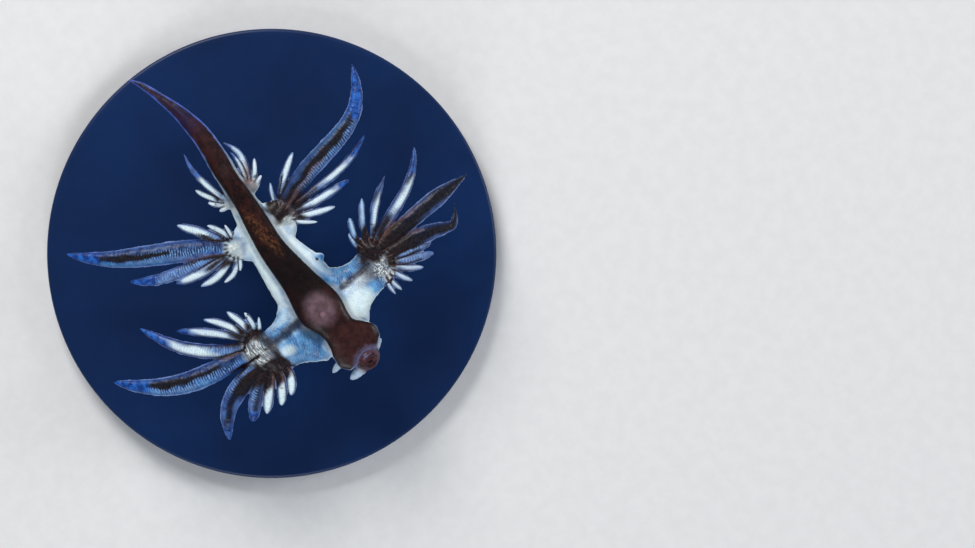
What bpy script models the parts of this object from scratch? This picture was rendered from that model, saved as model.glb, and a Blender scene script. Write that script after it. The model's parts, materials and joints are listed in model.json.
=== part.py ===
"""A life-size blue dragon sea slug, belly up as it floats, held over a plain display stand.

The animal lies along X with its head towards +X. Its foot faces up, so its own right side is at +Y
and its back faces down. The origin is the centre of the stand's underside, on the table.
"""

import bisect
import math
import random

import bmesh
import bpy
from mathutils import Matrix, Vector

# Every size below is in millimetres. A finished mesh is scaled to metres.
MM = 0.001
UP = Vector((0.0, 0.0, 1.0))

# Left between neighbouring pieces, and how far a fused root is sunk.
GAP = 0.3
SINK = 0.9

# The trunk, tail tip to snout: x, its left edge, its right edge, half its depth, height of its top.
TRUNK = (
    (-23.4, 0.38, 0.58, 0.10, 10.90),
    (-22.0, 0.80, 1.50, 0.33, 11.35),
    (-20.0, 1.22, 2.22, 0.50, 11.90),
    (-17.0, 1.55, 3.18, 0.75, 12.50),
    (-14.0, 1.50, 3.65, 0.95, 12.90),
    (-11.0, 1.00, 3.45, 1.12, 13.10),
    (-8.0, 0.52, 3.10, 1.35, 13.20),
    (-5.0, -0.40, 2.85, 1.60, 13.25),
    (-2.0, -1.45, 2.95, 1.85, 13.30),
    (1.0, -2.05, 3.30, 2.10, 13.40),
    (4.0, -2.60, 3.95, 2.35, 13.50),
    (8.0, -3.05, 3.95, 2.55, 13.60),
    (11.0, -2.50, 3.50, 2.30, 13.40),
    (13.0, -1.75, 3.25, 2.00, 13.00),
    (14.5, -0.95, 2.65, 1.60, 12.60),
    (15.7, -0.20, 1.95, 1.05, 12.20),
    (16.4, 0.60, 1.20, 0.30, 11.60),
)
TRUNK_SIDES = 20
TRUNK_SQUARENESS = 2.3

# The sole of the foot: x, left edge, right edge. It widens into two lobes beside the mouth.
SOLE = (
    (-9.4, 0.90, 2.95),
    (-6.0, 0.50, 2.72),
    (-3.0, -0.20, 2.45),
    (0.0, -0.80, 2.10),
    (4.0, -1.20, 2.40),
    (8.0, -2.00, 2.90),
    (10.8, -1.25, 2.40),
    (12.0, -1.45, 3.20),
    (13.0, -1.85, 3.80),
    (13.9, -1.95, 3.65),
    (14.5, -1.75, 2.95),
    (15.0, -1.25, 2.35),
)
SOLE_SIDES = 14
SOLE_SQUARENESS = 4.0
SOLE_DEPTH = 0.9
SOLE_CROWN = 0.25

# The belly swells under the sole: centre x and y, radius, height.
SWELLING = (8.3, 0.4, 1.7, 0.35)

# Where the long pieces are parted, tail to head.
TRUNK_LENGTHS = (
    ("tail_tip", -23.4, -19.0),
    ("tail_mid", -19.0, -14.4),
    ("tail_base", -14.4, -9.4),
    ("body_rear", -9.4, -4.7),
    ("body_mid", -4.7, 4.8),
    ("body_front", 4.8, 12.3),
)
HEAD_START = 12.3
HEAD_END = 16.4
SOLE_LENGTHS = (("foot_rear", -9.4, -1.2), ("foot_mid", -1.2, 7.6), ("foot_front", 7.6, 15.0))
TRUNK_STEP = 1.25
SOLE_STEP = 1.1

# The mouth stands up through the notch in the front of the foot.
MOUTH = Vector((15.1, 0.9, 11.75))
MOUTH_RADII = Vector((1.30, 1.42, 1.15))
LIP_RING, LIP_GIRTH = 0.66, 0.25
MOUTH_PITCH = math.radians(30)
MOUTH_SLIT = (0.26, 1.10, 0.70)

# Feelers: name, greatest width, the root inside the head, the tip.
FEELERS = (
    ("oral_tentacle_left", 1.10, (15.60, 0.50, 11.6), (15.70, -1.95, 11.4)),
    ("oral_tentacle_right", 0.95, (15.15, 1.35, 11.5), (14.45, 3.35, 10.9)),
    ("rhinophore_left", 0.85, (13.40, -0.60, 11.0), (14.00, -3.05, 10.3)),
    ("rhinophore_right", 0.80, (13.30, 2.00, 10.9), (13.60, 3.65, 9.5)),
)
FEELER_FLATNESS = 0.7
FEELER_SECTIONS = 8

# The genital papilla, on the animal's right flank: centre, radius, height.
PAPILLA = (Vector((3.8, 3.75, 11.6)), 0.50, 0.55)

# Each front arm: distance out in Y, its rear edge, its front edge, half its depth, height of its middle.
ARM_FRONT_LEFT = (
    (-1.2, 4.9, 12.3, 1.50, 11.30),
    (-2.4, 4.6, 12.7, 1.55, 11.30),
    (-3.1, 5.2, 12.2, 1.50, 11.30),
    (-3.9, 5.8, 11.7, 1.35, 11.25),
    (-5.0, 6.05, 11.05, 1.20, 11.20),
    (-6.0, 6.0, 10.9, 1.15, 11.15),
    (-6.6, 5.4, 10.8, 1.20, 11.15),
    (-7.4, 5.1, 10.5, 1.20, 11.10),
    (-8.2, 5.6, 9.8, 1.05, 11.10),
    (-8.9, 6.9, 8.5, 0.55, 11.10),
)
ARM_FRONT_RIGHT = (
    (2.0, 5.2, 12.2, 1.50, 11.30),
    (3.4, 4.9, 12.3, 1.55, 11.30),
    (4.2, 5.5, 11.6, 1.45, 11.25),
    (5.0, 6.0, 11.0, 1.30, 11.20),
    (6.0, 6.2, 10.75, 1.20, 11.20),
    (7.1, 6.1, 10.6, 1.15, 11.15),
    (7.7, 5.3, 10.6, 1.20, 11.15),
    (8.5, 5.0, 10.5, 1.20, 11.10),
    (9.2, 5.6, 9.9, 1.05, 11.10),
    (9.9, 6.9, 8.7, 0.55, 11.10),
)
ARM_SIDES = 20
ARM_STEP = 0.75
PAD_SIDES = 14
ARM_SQUARENESS = 2.4

# A groove runs out along the upper side of each front arm: its x, half-width and depth.
GROOVE = (7.65, 0.42, 0.40)

# The pads of the hinder fans grow straight out of the flanks. Their stations are like an arm's.
PAD_MID_LEFT = (
    (-0.3, -4.4, 0.6, 1.05, 11.35),
    (-1.4, -4.1, 0.1, 1.05, 11.35),
    (-2.0, -3.8, -0.6, 1.00, 11.30),
    (-2.7, -3.8, -1.3, 0.95, 11.30),
    (-3.4, -3.2, -2.0, 0.45, 11.25),
)
PAD_MID_RIGHT = (
    (1.8, -4.8, 1.4, 1.10, 11.35),
    (3.0, -4.3, 0.7, 1.10, 11.35),
    (3.9, -4.0, 0.0, 1.05, 11.30),
    (4.6, -3.7, -0.8, 0.90, 11.30),
    (5.2, -3.0, -1.5, 0.45, 11.30),
)
PAD_HIND_LEFT = (
    (1.2, -7.9, -5.2, 0.70, 11.70),
    (0.4, -7.5, -5.8, 0.65, 11.70),
    (-0.1, -7.2, -6.1, 0.60, 11.65),
    (-0.5, -6.9, -6.4, 0.35, 11.60),
)
PAD_HIND_RIGHT = (
    (2.1, -7.7, -5.1, 0.70, 11.70),
    (3.0, -7.4, -5.7, 0.65, 11.70),
    (3.6, -7.0, -5.9, 0.60, 11.65),
    (4.1, -6.7, -6.2, 0.35, 11.60),
)

# Outlines of a ceras: width of its neck, where it is widest, and two powers that shape its tip.
OUTLINES = {
    "leaf": (0.55, 0.55, 2.2, 0.55),
    "blade": (0.70, 0.38, 1.6, 0.60),
    "stub": (0.75, 0.55, 2.6, 0.50),
    "sabre": (0.80, 0.65, 1.4, 1.00),
    "hook": (0.80, 0.50, 1.3, 1.00),
    "spike": (0.62, 0.58, 1.3, 1.00),
    "thorn": (0.90, 0.45, 2.0, 0.60),
}

# The fans, each with its pad's stations and the height its cerata leave the pad at. Each row is one
# ceras: greatest width, outline, x and y of its root inside the pad, x and y of its tip, how far it
# bows to its left, and the share of its length where it bows most. A hooked one adds how far its
# tip turns to its left.
FANS = {
    "cerata_front_left": {
        "pad": ARM_FRONT_LEFT,
        "height": 11.1,
        "cerata": (
            (0.56, "leaf", 6.1, -6.45, 4.5, -5.1, -0.1, 0.4),
            (0.68, "leaf", 5.9, -6.6, 3.1, -5.95, -0.25, 0.4),
            (0.88, "leaf", 5.9, -6.9, 1.85, -7.35, -0.25, 0.45),
            (0.92, "leaf", 5.9, -7.2, 0.95, -9.75, -0.4, 0.5),
            (1.00, "leaf", 6.1, -7.5, 0.0, -12.8, -0.45, 0.4),
            (1.60, "blade", 6.4, -7.8, -2.75, -15.55, 1.3, 0.5),
            (2.35, "blade", 6.9, -8.0, -0.1, -21.35, 1.68, 0.55),
            (2.15, "blade", 8.1, -7.9, 12.5, -15.8, -1.3, 0.6),
            (1.50, "stub", 8.9, -7.8, 12.55, -12.65, -0.25, 0.45),
            (1.22, "stub", 9.2, -7.4, 12.9, -11.0, 0.05, 0.4),
            (1.16, "stub", 9.4, -7.0, 13.2, -9.25, 0.35, 0.5),
            (1.12, "stub", 9.4, -6.6, 13.05, -7.75, 0.65, 0.45),
        ),
    },
    "cerata_front_right": {
        "pad": ARM_FRONT_RIGHT,
        "height": 11.1,
        "cerata": (
            (0.56, "leaf", 6.2, 8.0, 3.8, 7.75, 0.3, 0.4),
            (0.78, "leaf", 6.2, 8.2, 2.6, 8.95, 0.45, 0.4),
            (0.82, "leaf", 6.2, 8.5, 1.85, 11.25, 0.25, 0.45),
            (0.94, "spike", 6.4, 8.8, 1.4, 15.05, 0.45, 0.55),
            (1.28, "blade", 6.6, 9.0, 1.2, 19.0, -0.9, 0.65),
            (1.95, "sabre", 7.2, 9.0, 7.05, 21.4, 0.2, 0.45),
            (1.85, "hook", 8.0, 9.0, 10.7, 17.7, 0.45, 0.5, 2.3),
            (1.12, "leaf", 8.6, 9.0, 10.15, 13.8, 0.05, 0.5),
            (1.02, "leaf", 9.0, 8.9, 11.15, 13.35, -0.05, 0.5),
            (0.82, "leaf", 9.2, 8.7, 11.65, 11.6, -0.1, 0.5),
            (0.76, "leaf", 9.3, 8.5, 12.0, 9.8, -0.1, 0.5),
            (0.66, "leaf", 9.3, 8.2, 12.05, 8.3, -0.2, 0.5),
            (0.56, "leaf", 9.3, 8.0, 12.0, 7.5, -0.2, 0.5),
        ),
    },
    "cerata_mid_left": {
        "pad": PAD_MID_LEFT,
        "height": 11.3,
        "cerata": (
            (0.54, "leaf", -3.0, -2.1, -5.25, -1.6, -0.1, 0.5),
            (0.74, "leaf", -3.0, -2.2, -6.4, -3.1, -0.4, 0.4),
            (1.12, "leaf", -3.0, -2.4, -8.45, -5.55, -0.2, 0.5),
            (2.40, "blade", -2.9, -2.5, -13.6, -16.4, 0.72, 0.7),
            (1.32, "leaf", -2.8, -2.6, -7.1, -13.15, 0.75, 0.65),
            (1.14, "leaf", -2.55, -2.6, -3.85, -9.6, 0.4, 0.55),
            (0.98, "leaf", -2.35, -2.6, -1.9, -7.75, 0.55, 0.55),
            (0.70, "leaf", -2.15, -2.5, -0.6, -5.6, 0.6, 0.55),
            (0.54, "leaf", -2.1, -2.3, -0.4, -3.5, 0.1, 0.5),
        ),
    },
    "cerata_mid_right": {
        "pad": PAD_MID_RIGHT,
        "height": 11.3,
        "cerata": (
            (0.56, "leaf", -2.7, 3.9, -5.6, 4.95, 0.25, 0.4),
            (0.90, "leaf", -2.7, 4.1, -6.5, 8.85, 0.4, 0.4),
            (2.20, "blade", -2.5, 3.8, -9.6, 19.5, -2.4, 0.7),
            (0.94, "leaf", -2.0, 4.0, -3.1, 15.8, -0.75, 0.65),
            (0.97, "leaf", -1.7, 4.0, -0.45, 11.5, -0.2, 0.4),
            (0.86, "leaf", -1.5, 3.9, 0.8, 8.6, -0.15, 0.45),
            (0.58, "leaf", -1.3, 3.8, 0.85, 6.1, -0.1, 0.4),
        ),
    },
    "cerata_hind_left": {
        "pad": PAD_HIND_LEFT,
        "height": 11.65,
        "cerata": (
            (0.80, "blade", -6.7, 0.2, -13.6, -0.1, 0.5, 0.6),
            (0.74, "leaf", -6.7, 0.15, -10.05, -1.65, 0.15, 0.6),
            (0.64, "leaf", -6.6, 0.1, -8.15, -1.5, 0.15, 0.4),
            (0.54, "leaf", -6.5, 0.1, -6.65, -1.15, 0.05, 0.5),
        ),
    },
    "cerata_hind_right": {
        "pad": PAD_HIND_RIGHT,
        "height": 11.65,
        "cerata": (
            (0.62, "blade", -6.8, 3.05, -10.8, 3.75, -0.25, 0.6),
            (0.98, "blade", -6.7, 3.1, -11.95, 3.8, -0.82, 0.6),
            (0.66, "leaf", -6.5, 3.2, -8.65, 5.3, -0.2, 0.5),
            (0.54, "leaf", -6.4, 3.2, -6.75, 4.75, -0.1, 0.5),
        ),
    },
}

# How a ceras stands: those in the middle of a row droop, those at its ends lift.
CERATA_FLATNESS = 0.75
LEAST_THICKNESS = 0.5
CERATA_DROOP = math.radians(-6)
CERATA_LIFT = math.radians(9)
CERATA_JITTER = math.radians(3)
CERATA_BOW = 0.04
CERATA_SIDES = 8
CERATA_SEED = 11

# How many sections shape a ceras: the least, and one more for each stretch of this length.
LEAST_SECTIONS, SECTION_STRETCH = 6, 1.7
PATH_STEPS = 48
HOOK_START = 0.86
TIP_SHARE = 0.10

# The stand.
BASE_RADIUS = 24.0
BASE_DEPTH = 2.4
BASE_BEVEL = 0.35
BASE_SIDES = 72
ROD_RADIUS = 0.6
ROD_SIDES = 20
RODS = (("stand_rod_front", 7.2), ("stand_rod_rear", -4.0))

# Colour, roughness and metallic value of each finish.
FINISHES = {
    "silver_skin": ((0.62, 0.72, 0.84), 0.28, 0.0),
    "blue_skin": ((0.22, 0.38, 0.78), 0.28, 0.0),
    "brown_sole": ((0.09, 0.03, 0.025), 0.32, 0.0),
    "lip_skin": ((0.22, 0.08, 0.09), 0.30, 0.0),
    "base_lacquer": ((0.015, 0.03, 0.075), 0.35, 0.0),
    "rod_steel": ((0.62, 0.63, 0.65), 0.25, 1.0),
}


def clear_scene():
    for obj in list(bpy.data.objects):
        bpy.data.objects.remove(obj)


def sizes_at(stations, x):
    """The sizes at x, on a smooth curve through the stations that never overshoots them."""
    xs = [row[0] for row in stations]
    i = max(0, min(len(xs) - 2, bisect.bisect_right(xs, x) - 1))
    span = xs[i + 1] - xs[i]
    t = min(1.0, max(0.0, (x - xs[i]) / span))
    found = []
    for column in range(1, len(stations[0])):
        values = [row[column] for row in stations]
        slopes = [(b - a) / (q - p) for a, b, p, q in zip(values, values[1:], xs, xs[1:])]

        def tangent(k):
            if k == 0 or k == len(xs) - 1:
                return slopes[min(k, len(slopes) - 1)]
            before, after = slopes[k - 1], slopes[k]
            return 0.0 if before * after <= 0 else 2 * before * after / (before + after)

        rise = (2 * t**3 - 3 * t**2 + 1) * values[i] + (3 * t**2 - 2 * t**3) * values[i + 1]
        swing = (t**3 - 2 * t**2 + t) * tangent(i) + (t**3 - t**2) * tangent(i + 1)
        found.append(rise + swing * span)
    return found


def rounded(angle, squareness):
    """A point on a unit superellipse: 2 gives a circle, and more gives squarer corners."""
    c, s = math.cos(angle), math.sin(angle)
    power = 2.0 / squareness
    return math.copysign(abs(c) ** power, c), math.copysign(abs(s) ** power, s)


def bearings(count):
    return [2 * math.pi * i / count for i in range(count)]


def steps(start, end, step):
    count = max(2, math.ceil(abs(end - start) / step))
    return [start + (end - start) * i / count for i in range(count + 1)]


def loft(rings):
    """A closed skin over rings that all have the same number of points, with flat ends."""
    made = bmesh.new()
    rows = [[made.verts.new(point) for point in ring] for ring in rings]
    for a, b in zip(rows, rows[1:]):
        for i in range(len(a)):
            j = (i + 1) % len(a)
            made.faces.new((a[i], a[j], b[j], b[i]))
    made.faces.new(list(reversed(rows[0])))
    made.faces.new(rows[-1])
    bmesh.ops.recalc_face_normals(made, faces=made.faces)
    bmesh.ops.triangulate(made, faces=made.faces)
    if made.calc_volume(signed=True) < 0:
        bmesh.ops.reverse_faces(made, faces=made.faces)
    return made


def helper(shape, name="helper"):
    """A scratch object that holds a shape while pieces are joined or cut."""
    mesh = bpy.data.meshes.new(name)
    shape.to_mesh(mesh)
    shape.free()
    obj = bpy.data.objects.new(name, mesh)
    bpy.context.scene.collection.objects.link(obj)
    return obj


def combined(shape, operation, others):
    """The shape joined with, or cut by, the others, in one Boolean."""
    base = helper(shape)
    group = bpy.data.collections.new("group")
    bpy.context.scene.collection.children.link(group)
    for other in others:
        obj = helper(other)
        bpy.context.scene.collection.objects.unlink(obj)
        group.objects.link(obj)
    boolean = base.modifiers.new("join", "BOOLEAN")
    boolean.operation = operation
    boolean.solver = "EXACT"
    boolean.operand_type = "COLLECTION"
    boolean.collection = group
    with bpy.context.temp_override(object=base, active_object=base):
        bpy.ops.object.modifier_apply(modifier=boolean.name)
    made = bmesh.new()
    made.from_mesh(base.data)
    for obj in [base, *group.objects]:
        bpy.data.objects.remove(obj)
    bpy.data.collections.remove(group)
    return largest_surface(made)


def largest_surface(shape):
    """Keeps the closed surface that holds most, and drops scraps and sealed hollows."""
    bmesh.ops.triangulate(shape, faces=shape.faces)
    left, surfaces = set(shape.faces), []
    while left:
        found, edge = set(), [left.pop()]
        while edge:
            face = edge.pop()
            found.add(face)
            near = {f for e in face.edges for f in e.link_faces} & left
            left -= near
            edge.extend(near)
        surfaces.append(found)

    def volume(faces):
        corners = [[v.co for v in face.verts] for face in faces]
        return sum(a.dot(b.cross(c)) for a, b, c in corners) / 6

    kept = max(surfaces, key=volume)
    bmesh.ops.delete(shape, geom=[f for f in shape.faces if f not in kept], context="FACES")
    return shape


def finished_material(name, finish):
    made = bpy.data.materials.new(name)
    colour, roughness, metallic = FINISHES[finish]
    made.use_nodes = True
    shader = made.node_tree.nodes["Principled BSDF"]
    shader.inputs["Base Color"].default_value = (*colour, 1.0)
    shader.inputs["Roughness"].default_value = roughness
    shader.inputs["Metallic"].default_value = metallic
    made.diffuse_color = (*colour, 1.0)
    return made


def node(name, shape, finish):
    """A finished piece of the model, in metres."""
    shape.transform(Matrix.Scale(MM, 4))
    obj = helper(shape, name)
    obj.data.materials.append(finished_material(f"{name}_{finish}", finish))
    obj.data.shade_smooth()
    obj.data.set_sharp_from_angle(angle=math.radians(40))
    return obj


def swell(x, y):
    """How far the belly's swelling lifts the surface at x, y."""
    centre_x, centre_y, radius, height = SWELLING
    away = ((x - centre_x) ** 2 + (y - centre_y) ** 2) / radius**2
    return height * math.exp(-away)


def seat_height(x):
    """The level that the sole lies on."""
    return sizes_at(TRUNK, x)[3] - SOLE_DEPTH - GAP


def trunk_ring(x, seated, grow=0.0):
    """One section of the trunk. A seated one is cut flat where the sole lies on it."""
    left, right, half_depth, top = sizes_at(TRUNK, x)
    half_width = (right - left) / 2 + grow
    middle_y, middle_z = (left + right) / 2, top - half_depth
    highest = seat_height(x) if seated else math.inf
    ring = []
    for angle in bearings(TRUNK_SIDES):
        c, s = rounded(angle, TRUNK_SQUARENESS)
        z = middle_z + (half_depth + grow) * s
        ring.append(Vector((x, middle_y + half_width * c, min(z, highest))))
    return ring


def trunk_shape(start, end, seated, grow=0.0):
    return loft([trunk_ring(x, seated, grow) for x in steps(start, end, TRUNK_STEP)])


def trunk_clearance():
    """The whole trunk grown by the gap, which is cut from what grows out of it."""
    return trunk_shape(TRUNK[0][0] - GAP, TRUNK[-1][0] + GAP, False, GAP)


def parted(start, end, first, last):
    """The ends of a length, each drawn back by half the gap unless it is a free end."""
    return start + (0 if start == first else GAP / 2), end - (0 if end == last else GAP / 2)


def papilla_shape():
    """A low cone with a rim, leaning out from the right flank."""
    centre, radius, height = PAPILLA
    out = Vector((0.15, 1.0, 0.55)).normalized()
    side = out.cross(UP).normalized()
    other = out.cross(side)
    profile = ((-SINK, 1.25), (0.0, 1.15), (0.55 * height, 0.85), (height, 0.55))
    rings = []
    for rise, share in profile:
        rings.append(
            [
                centre + out * rise + (side * math.cos(a) + other * math.sin(a)) * radius * share
                for a in bearings(10)
            ]
        )
    return loft(rings)


def make_trunk():
    first = TRUNK_LENGTHS[0][1]
    for name, start, end in TRUNK_LENGTHS:
        start, end = parted(start, end, first, None)
        seated = not name.startswith("tail")
        shape = trunk_shape(start, end, seated)
        if name == "body_mid":
            shape = combined(shape, "UNION", [papilla_shape()])
        node(name, shape, "silver_skin" if seated else "brown_sole")


def sole_ring(x):
    left, right = sizes_at(SOLE, x)
    half_width, middle_y = (right - left) / 2, (left + right) / 2
    bottom = seat_height(x) + GAP
    ring = []
    for angle in bearings(SOLE_SIDES):
        c, s = rounded(angle, SOLE_SQUARENESS)
        y = middle_y + half_width * c
        z = bottom + SOLE_DEPTH * (1 + s) / 2
        if s > 0:
            z += SOLE_CROWN * (1 - c * c) + swell(x, y)
        ring.append(Vector((x, y, z)))
    return ring


def make_sole():
    for name, start, end in SOLE_LENGTHS:
        start, end = parted(start, end, None, SOLE[-1][0])
        shape = loft([sole_ring(x) for x in steps(start, end, SOLE_STEP)])
        if name == "foot_front":
            shape = combined(shape, "DIFFERENCE", [mouth_bulb(GAP)])
        node(name, shape, "brown_sole")


def mouth_bulb(grow=0.0):
    shape = bmesh.new()
    bmesh.ops.create_uvsphere(shape, u_segments=20, v_segments=12, radius=1.0)
    shape.transform(Matrix.Diagonal((*[r + grow for r in MOUTH_RADII], 1.0)))
    shape.transform(Matrix.Translation(MOUTH))
    return shape


def mouth_frame():
    """Places the lips on the bulb, tipped forwards from straight up."""
    out = Vector((math.sin(MOUTH_PITCH), 0.0, math.cos(MOUTH_PITCH)))
    reach = 1 / math.sqrt(sum((o / r) ** 2 for o, r in zip(out, MOUTH_RADII)))
    return Matrix.Translation(MOUTH + out * reach) @ Matrix.Rotation(MOUTH_PITCH, 4, "Y")


def lip_ring():
    """A round lip, as a torus lying on the bulb."""
    made = bmesh.new()
    around, girth = 20, 8
    rows = []
    for a in bearings(around):
        out = Vector((math.cos(a), math.sin(a), 0.0))
        rows.append(
            [
                made.verts.new(out * (LIP_RING + LIP_GIRTH * math.cos(b)) + UP * LIP_GIRTH * math.sin(b))
                for b in bearings(girth)
            ]
        )
    for i in range(around):
        for j in range(girth):
            a, b = rows[i], rows[(i + 1) % around]
            k = (j + 1) % girth
            made.faces.new((a[j], b[j], b[k], a[k]))
    bmesh.ops.recalc_face_normals(made, faces=made.faces)
    made.transform(mouth_frame() @ Matrix.Translation((0, 0, -0.10)))
    return made


def mouth_slit():
    made = bmesh.new()
    bmesh.ops.create_cube(made, size=1.0)
    made.transform(Matrix.Diagonal((*MOUTH_SLIT, 1.0)))
    made.transform(mouth_frame() @ Matrix.Translation((0, 0, -0.05)))
    return made


def head_clearance():
    start = HEAD_START - GAP
    return trunk_shape(start, HEAD_END + GAP, False, GAP)


def make_head():
    shape = trunk_shape(HEAD_START + GAP / 2, HEAD_END, True)
    shape = combined(shape, "UNION", [mouth_bulb(), lip_ring()])
    shape = combined(shape, "DIFFERENCE", [mouth_slit()])
    node("head", shape, "lip_skin")


def make_feelers():
    for name, width, root, tip in FEELERS:
        path = bowed_path(Vector(root), Vector(tip), 0.05, 0.5, 0.0)
        shape = finger(path, width, width * FEELER_FLATNESS, "thorn", FEELER_SECTIONS)
        shape = combined(shape, "DIFFERENCE", [head_clearance(), mouth_bulb(GAP)])
        node(name, shape, "silver_skin")


def girth(t, outline):
    """Share of the greatest width at t of the length: a neck, a belly, then a shaped tip."""
    neck, belly, first_power, second_power = OUTLINES[outline]
    if t < belly:
        return neck + (1 - neck) * math.sin(math.pi / 2 * t / belly)
    past = (t - belly) / (1 - belly)
    return max(TIP_SHARE, (1 - past**first_power) ** second_power)


def bowed_path(root, tip, bow, peak, turn):
    """A finely stepped curve that bows to its left, and may turn left at its tip."""
    run = tip - root
    left = UP.cross(run).normalized()
    power = math.log(0.5) / math.log(peak)
    path = []
    for i in range(PATH_STEPS + 1):
        t = i / PATH_STEPS
        turned = turn * max(0.0, (t - HOOK_START) / (1 - HOOK_START)) ** 2
        sideways = bow * math.sin(math.pi * t**power) + turned
        upwards = CERATA_BOW * run.length * math.sin(math.pi * t)
        path.append(root + run * t + left * sideways + UP * upwards)
    return path


def stretches(path):
    """How far along each point of a path lies."""
    run = [0.0]
    for a, b in zip(path, path[1:]):
        run.append(run[-1] + (b - a).length)
    return run


def point_along(path, run, t):
    """The point at t of a path's length."""
    at = t * run[-1]
    i = max(0, min(len(run) - 2, bisect.bisect_right(run, at) - 1))
    return path[i].lerp(path[i + 1], (at - run[i]) / (run[i + 1] - run[i]))


def finger(path, width, thickness, outline, sections):
    """A tapered, slightly flattened finger along a path."""
    run = stretches(path)
    rings = []
    for i in range(sections):
        t = math.sin(math.pi / 2 * i / (sections - 1)) ** 1.1
        middle = point_along(path, run, t)
        behind, ahead = point_along(path, run, max(0.0, t - 0.02)), point_along(path, run, min(1.0, t + 0.02))
        side = UP.cross(ahead - behind).normalized()
        rise = (ahead - behind).normalized().cross(side)
        share = girth(t, outline) / 2
        across, up = side * width * share, rise * thickness * share
        rings.append([middle + across * math.cos(a) + up * math.sin(a) for a in bearings(CERATA_SIDES)])
    return loft(rings)


def fan_cerata(fan):
    """One closed finger for each ceras of a fan."""
    chance = random.Random(CERATA_SEED)
    last = len(fan["cerata"]) - 1
    made = []
    for i, (width, outline, root_x, root_y, tip_x, tip_y, bow, peak, *turn) in enumerate(fan["cerata"]):
        end_share = (2 * i / last - 1) ** 2
        slope = CERATA_DROOP + (CERATA_LIFT - CERATA_DROOP) * end_share
        slope += chance.uniform(-CERATA_JITTER, CERATA_JITTER)
        length = math.hypot(tip_x - root_x, tip_y - root_y)
        root = Vector((root_x, root_y, fan["height"]))
        tip = Vector((tip_x, tip_y, fan["height"] + length * math.tan(slope)))
        path = bowed_path(root, tip, bow, peak, sum(turn))
        thickness = max(LEAST_THICKNESS, CERATA_FLATNESS * width)
        sections = LEAST_SECTIONS + round(length / SECTION_STRETCH)
        made.append(finger(path, width, thickness, outline, sections))
    return made


def arm_ring(y, sizes, sides):
    """One section of an arm or pad. The groove is cut into its upper side."""
    rear, front, half_depth, middle_z = sizes
    groove_x, groove_half, groove_depth = GROOVE
    half, middle_x = (front - rear) / 2, (front + rear) / 2
    ring = []
    for angle in bearings(sides):
        c, s = rounded(angle, ARM_SQUARENESS)
        x = middle_x + half * c
        z = middle_z + half_depth * s
        if s > 0:
            z -= groove_depth * math.exp(-(((x - groove_x) / groove_half) ** 2))
        ring.append(Vector((x, y, z)))
    return ring


def arm_shape(stations, start, end, sides=ARM_SIDES):
    ordered = sorted(stations)
    return loft([arm_ring(y, sizes_at(ordered, y), sides) for y in steps(start, end, ARM_STEP)])


def make_front_pair(side, stations, wrist):
    """An arm from the trunk to the wrist, and beyond it the pad with its cerata."""
    outwards = 1 if side == "right" else -1
    arm = arm_shape(stations, stations[0][0], wrist - outwards * GAP / 2)
    arm = combined(arm, "DIFFERENCE", [trunk_clearance()])
    node(f"arm_front_{side}", arm, "silver_skin")
    name = f"cerata_front_{side}"
    pad = arm_shape(stations, wrist + outwards * GAP / 2, stations[-1][0])
    node(name, combined(pad, "UNION", fan_cerata(FANS[name])), "blue_skin")


def make_flank_fan(name):
    """A pad with its cerata that grows straight out of the flank."""
    fan = FANS[name]
    pad = arm_shape(fan["pad"], fan["pad"][0][0], fan["pad"][-1][0], PAD_SIDES)
    shape = combined(pad, "UNION", fan_cerata(fan))
    shape = combined(shape, "DIFFERENCE", [trunk_clearance()])
    node(name, shape, "blue_skin")


def disc(radius, bottom, top, sides, bevel, centre):
    profile = (
        (bottom, radius - bevel),
        (bottom + bevel, radius),
        (top - bevel, radius),
        (top, radius - bevel),
    )
    rings = []
    for z, r in profile:
        rings.append(
            [Vector((centre[0] + r * math.cos(a), centre[1] + r * math.sin(a), z)) for a in bearings(sides)]
        )
    return loft(rings)


def make_stand():
    base = disc(BASE_RADIUS, 0.0, BASE_DEPTH, BASE_SIDES, BASE_BEVEL, (0.0, 0.0))
    node("stand_base", base, "base_lacquer")
    for name, x in RODS:
        left, right = sizes_at(TRUNK, x)[:2]
        back = min(
            sizes_at(TRUNK, at)[3] - 2 * sizes_at(TRUNK, at)[2] for at in (x - ROD_RADIUS, x + ROD_RADIUS)
        )
        rod = disc(
            ROD_RADIUS, BASE_DEPTH + GAP, back - GAP, ROD_SIDES, ROD_RADIUS / 6, (x, (left + right) / 2)
        )
        node(name, rod, "rod_steel")


def main():
    clear_scene()
    make_trunk()
    make_sole()
    make_head()
    make_feelers()
    make_front_pair("left", ARM_FRONT_LEFT, -6.0)
    make_front_pair("right", ARM_FRONT_RIGHT, 7.1)
    for name in FANS:
        if "front" not in name:
            make_flank_fan(name)
    make_stand()


main()
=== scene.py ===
"""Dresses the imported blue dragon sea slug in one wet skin, and its display stand in lacquer and steel.

The animal lies along X with its head towards +X. It floats belly up, so its foot faces +Z and its
own right side is at +Y. Forms are modelled in millimetres, and a finished piece is scaled to metres.
"""

import json
import math
import random

import bmesh
import bpy
import numpy as np
from mathutils import Matrix, Vector

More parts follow.
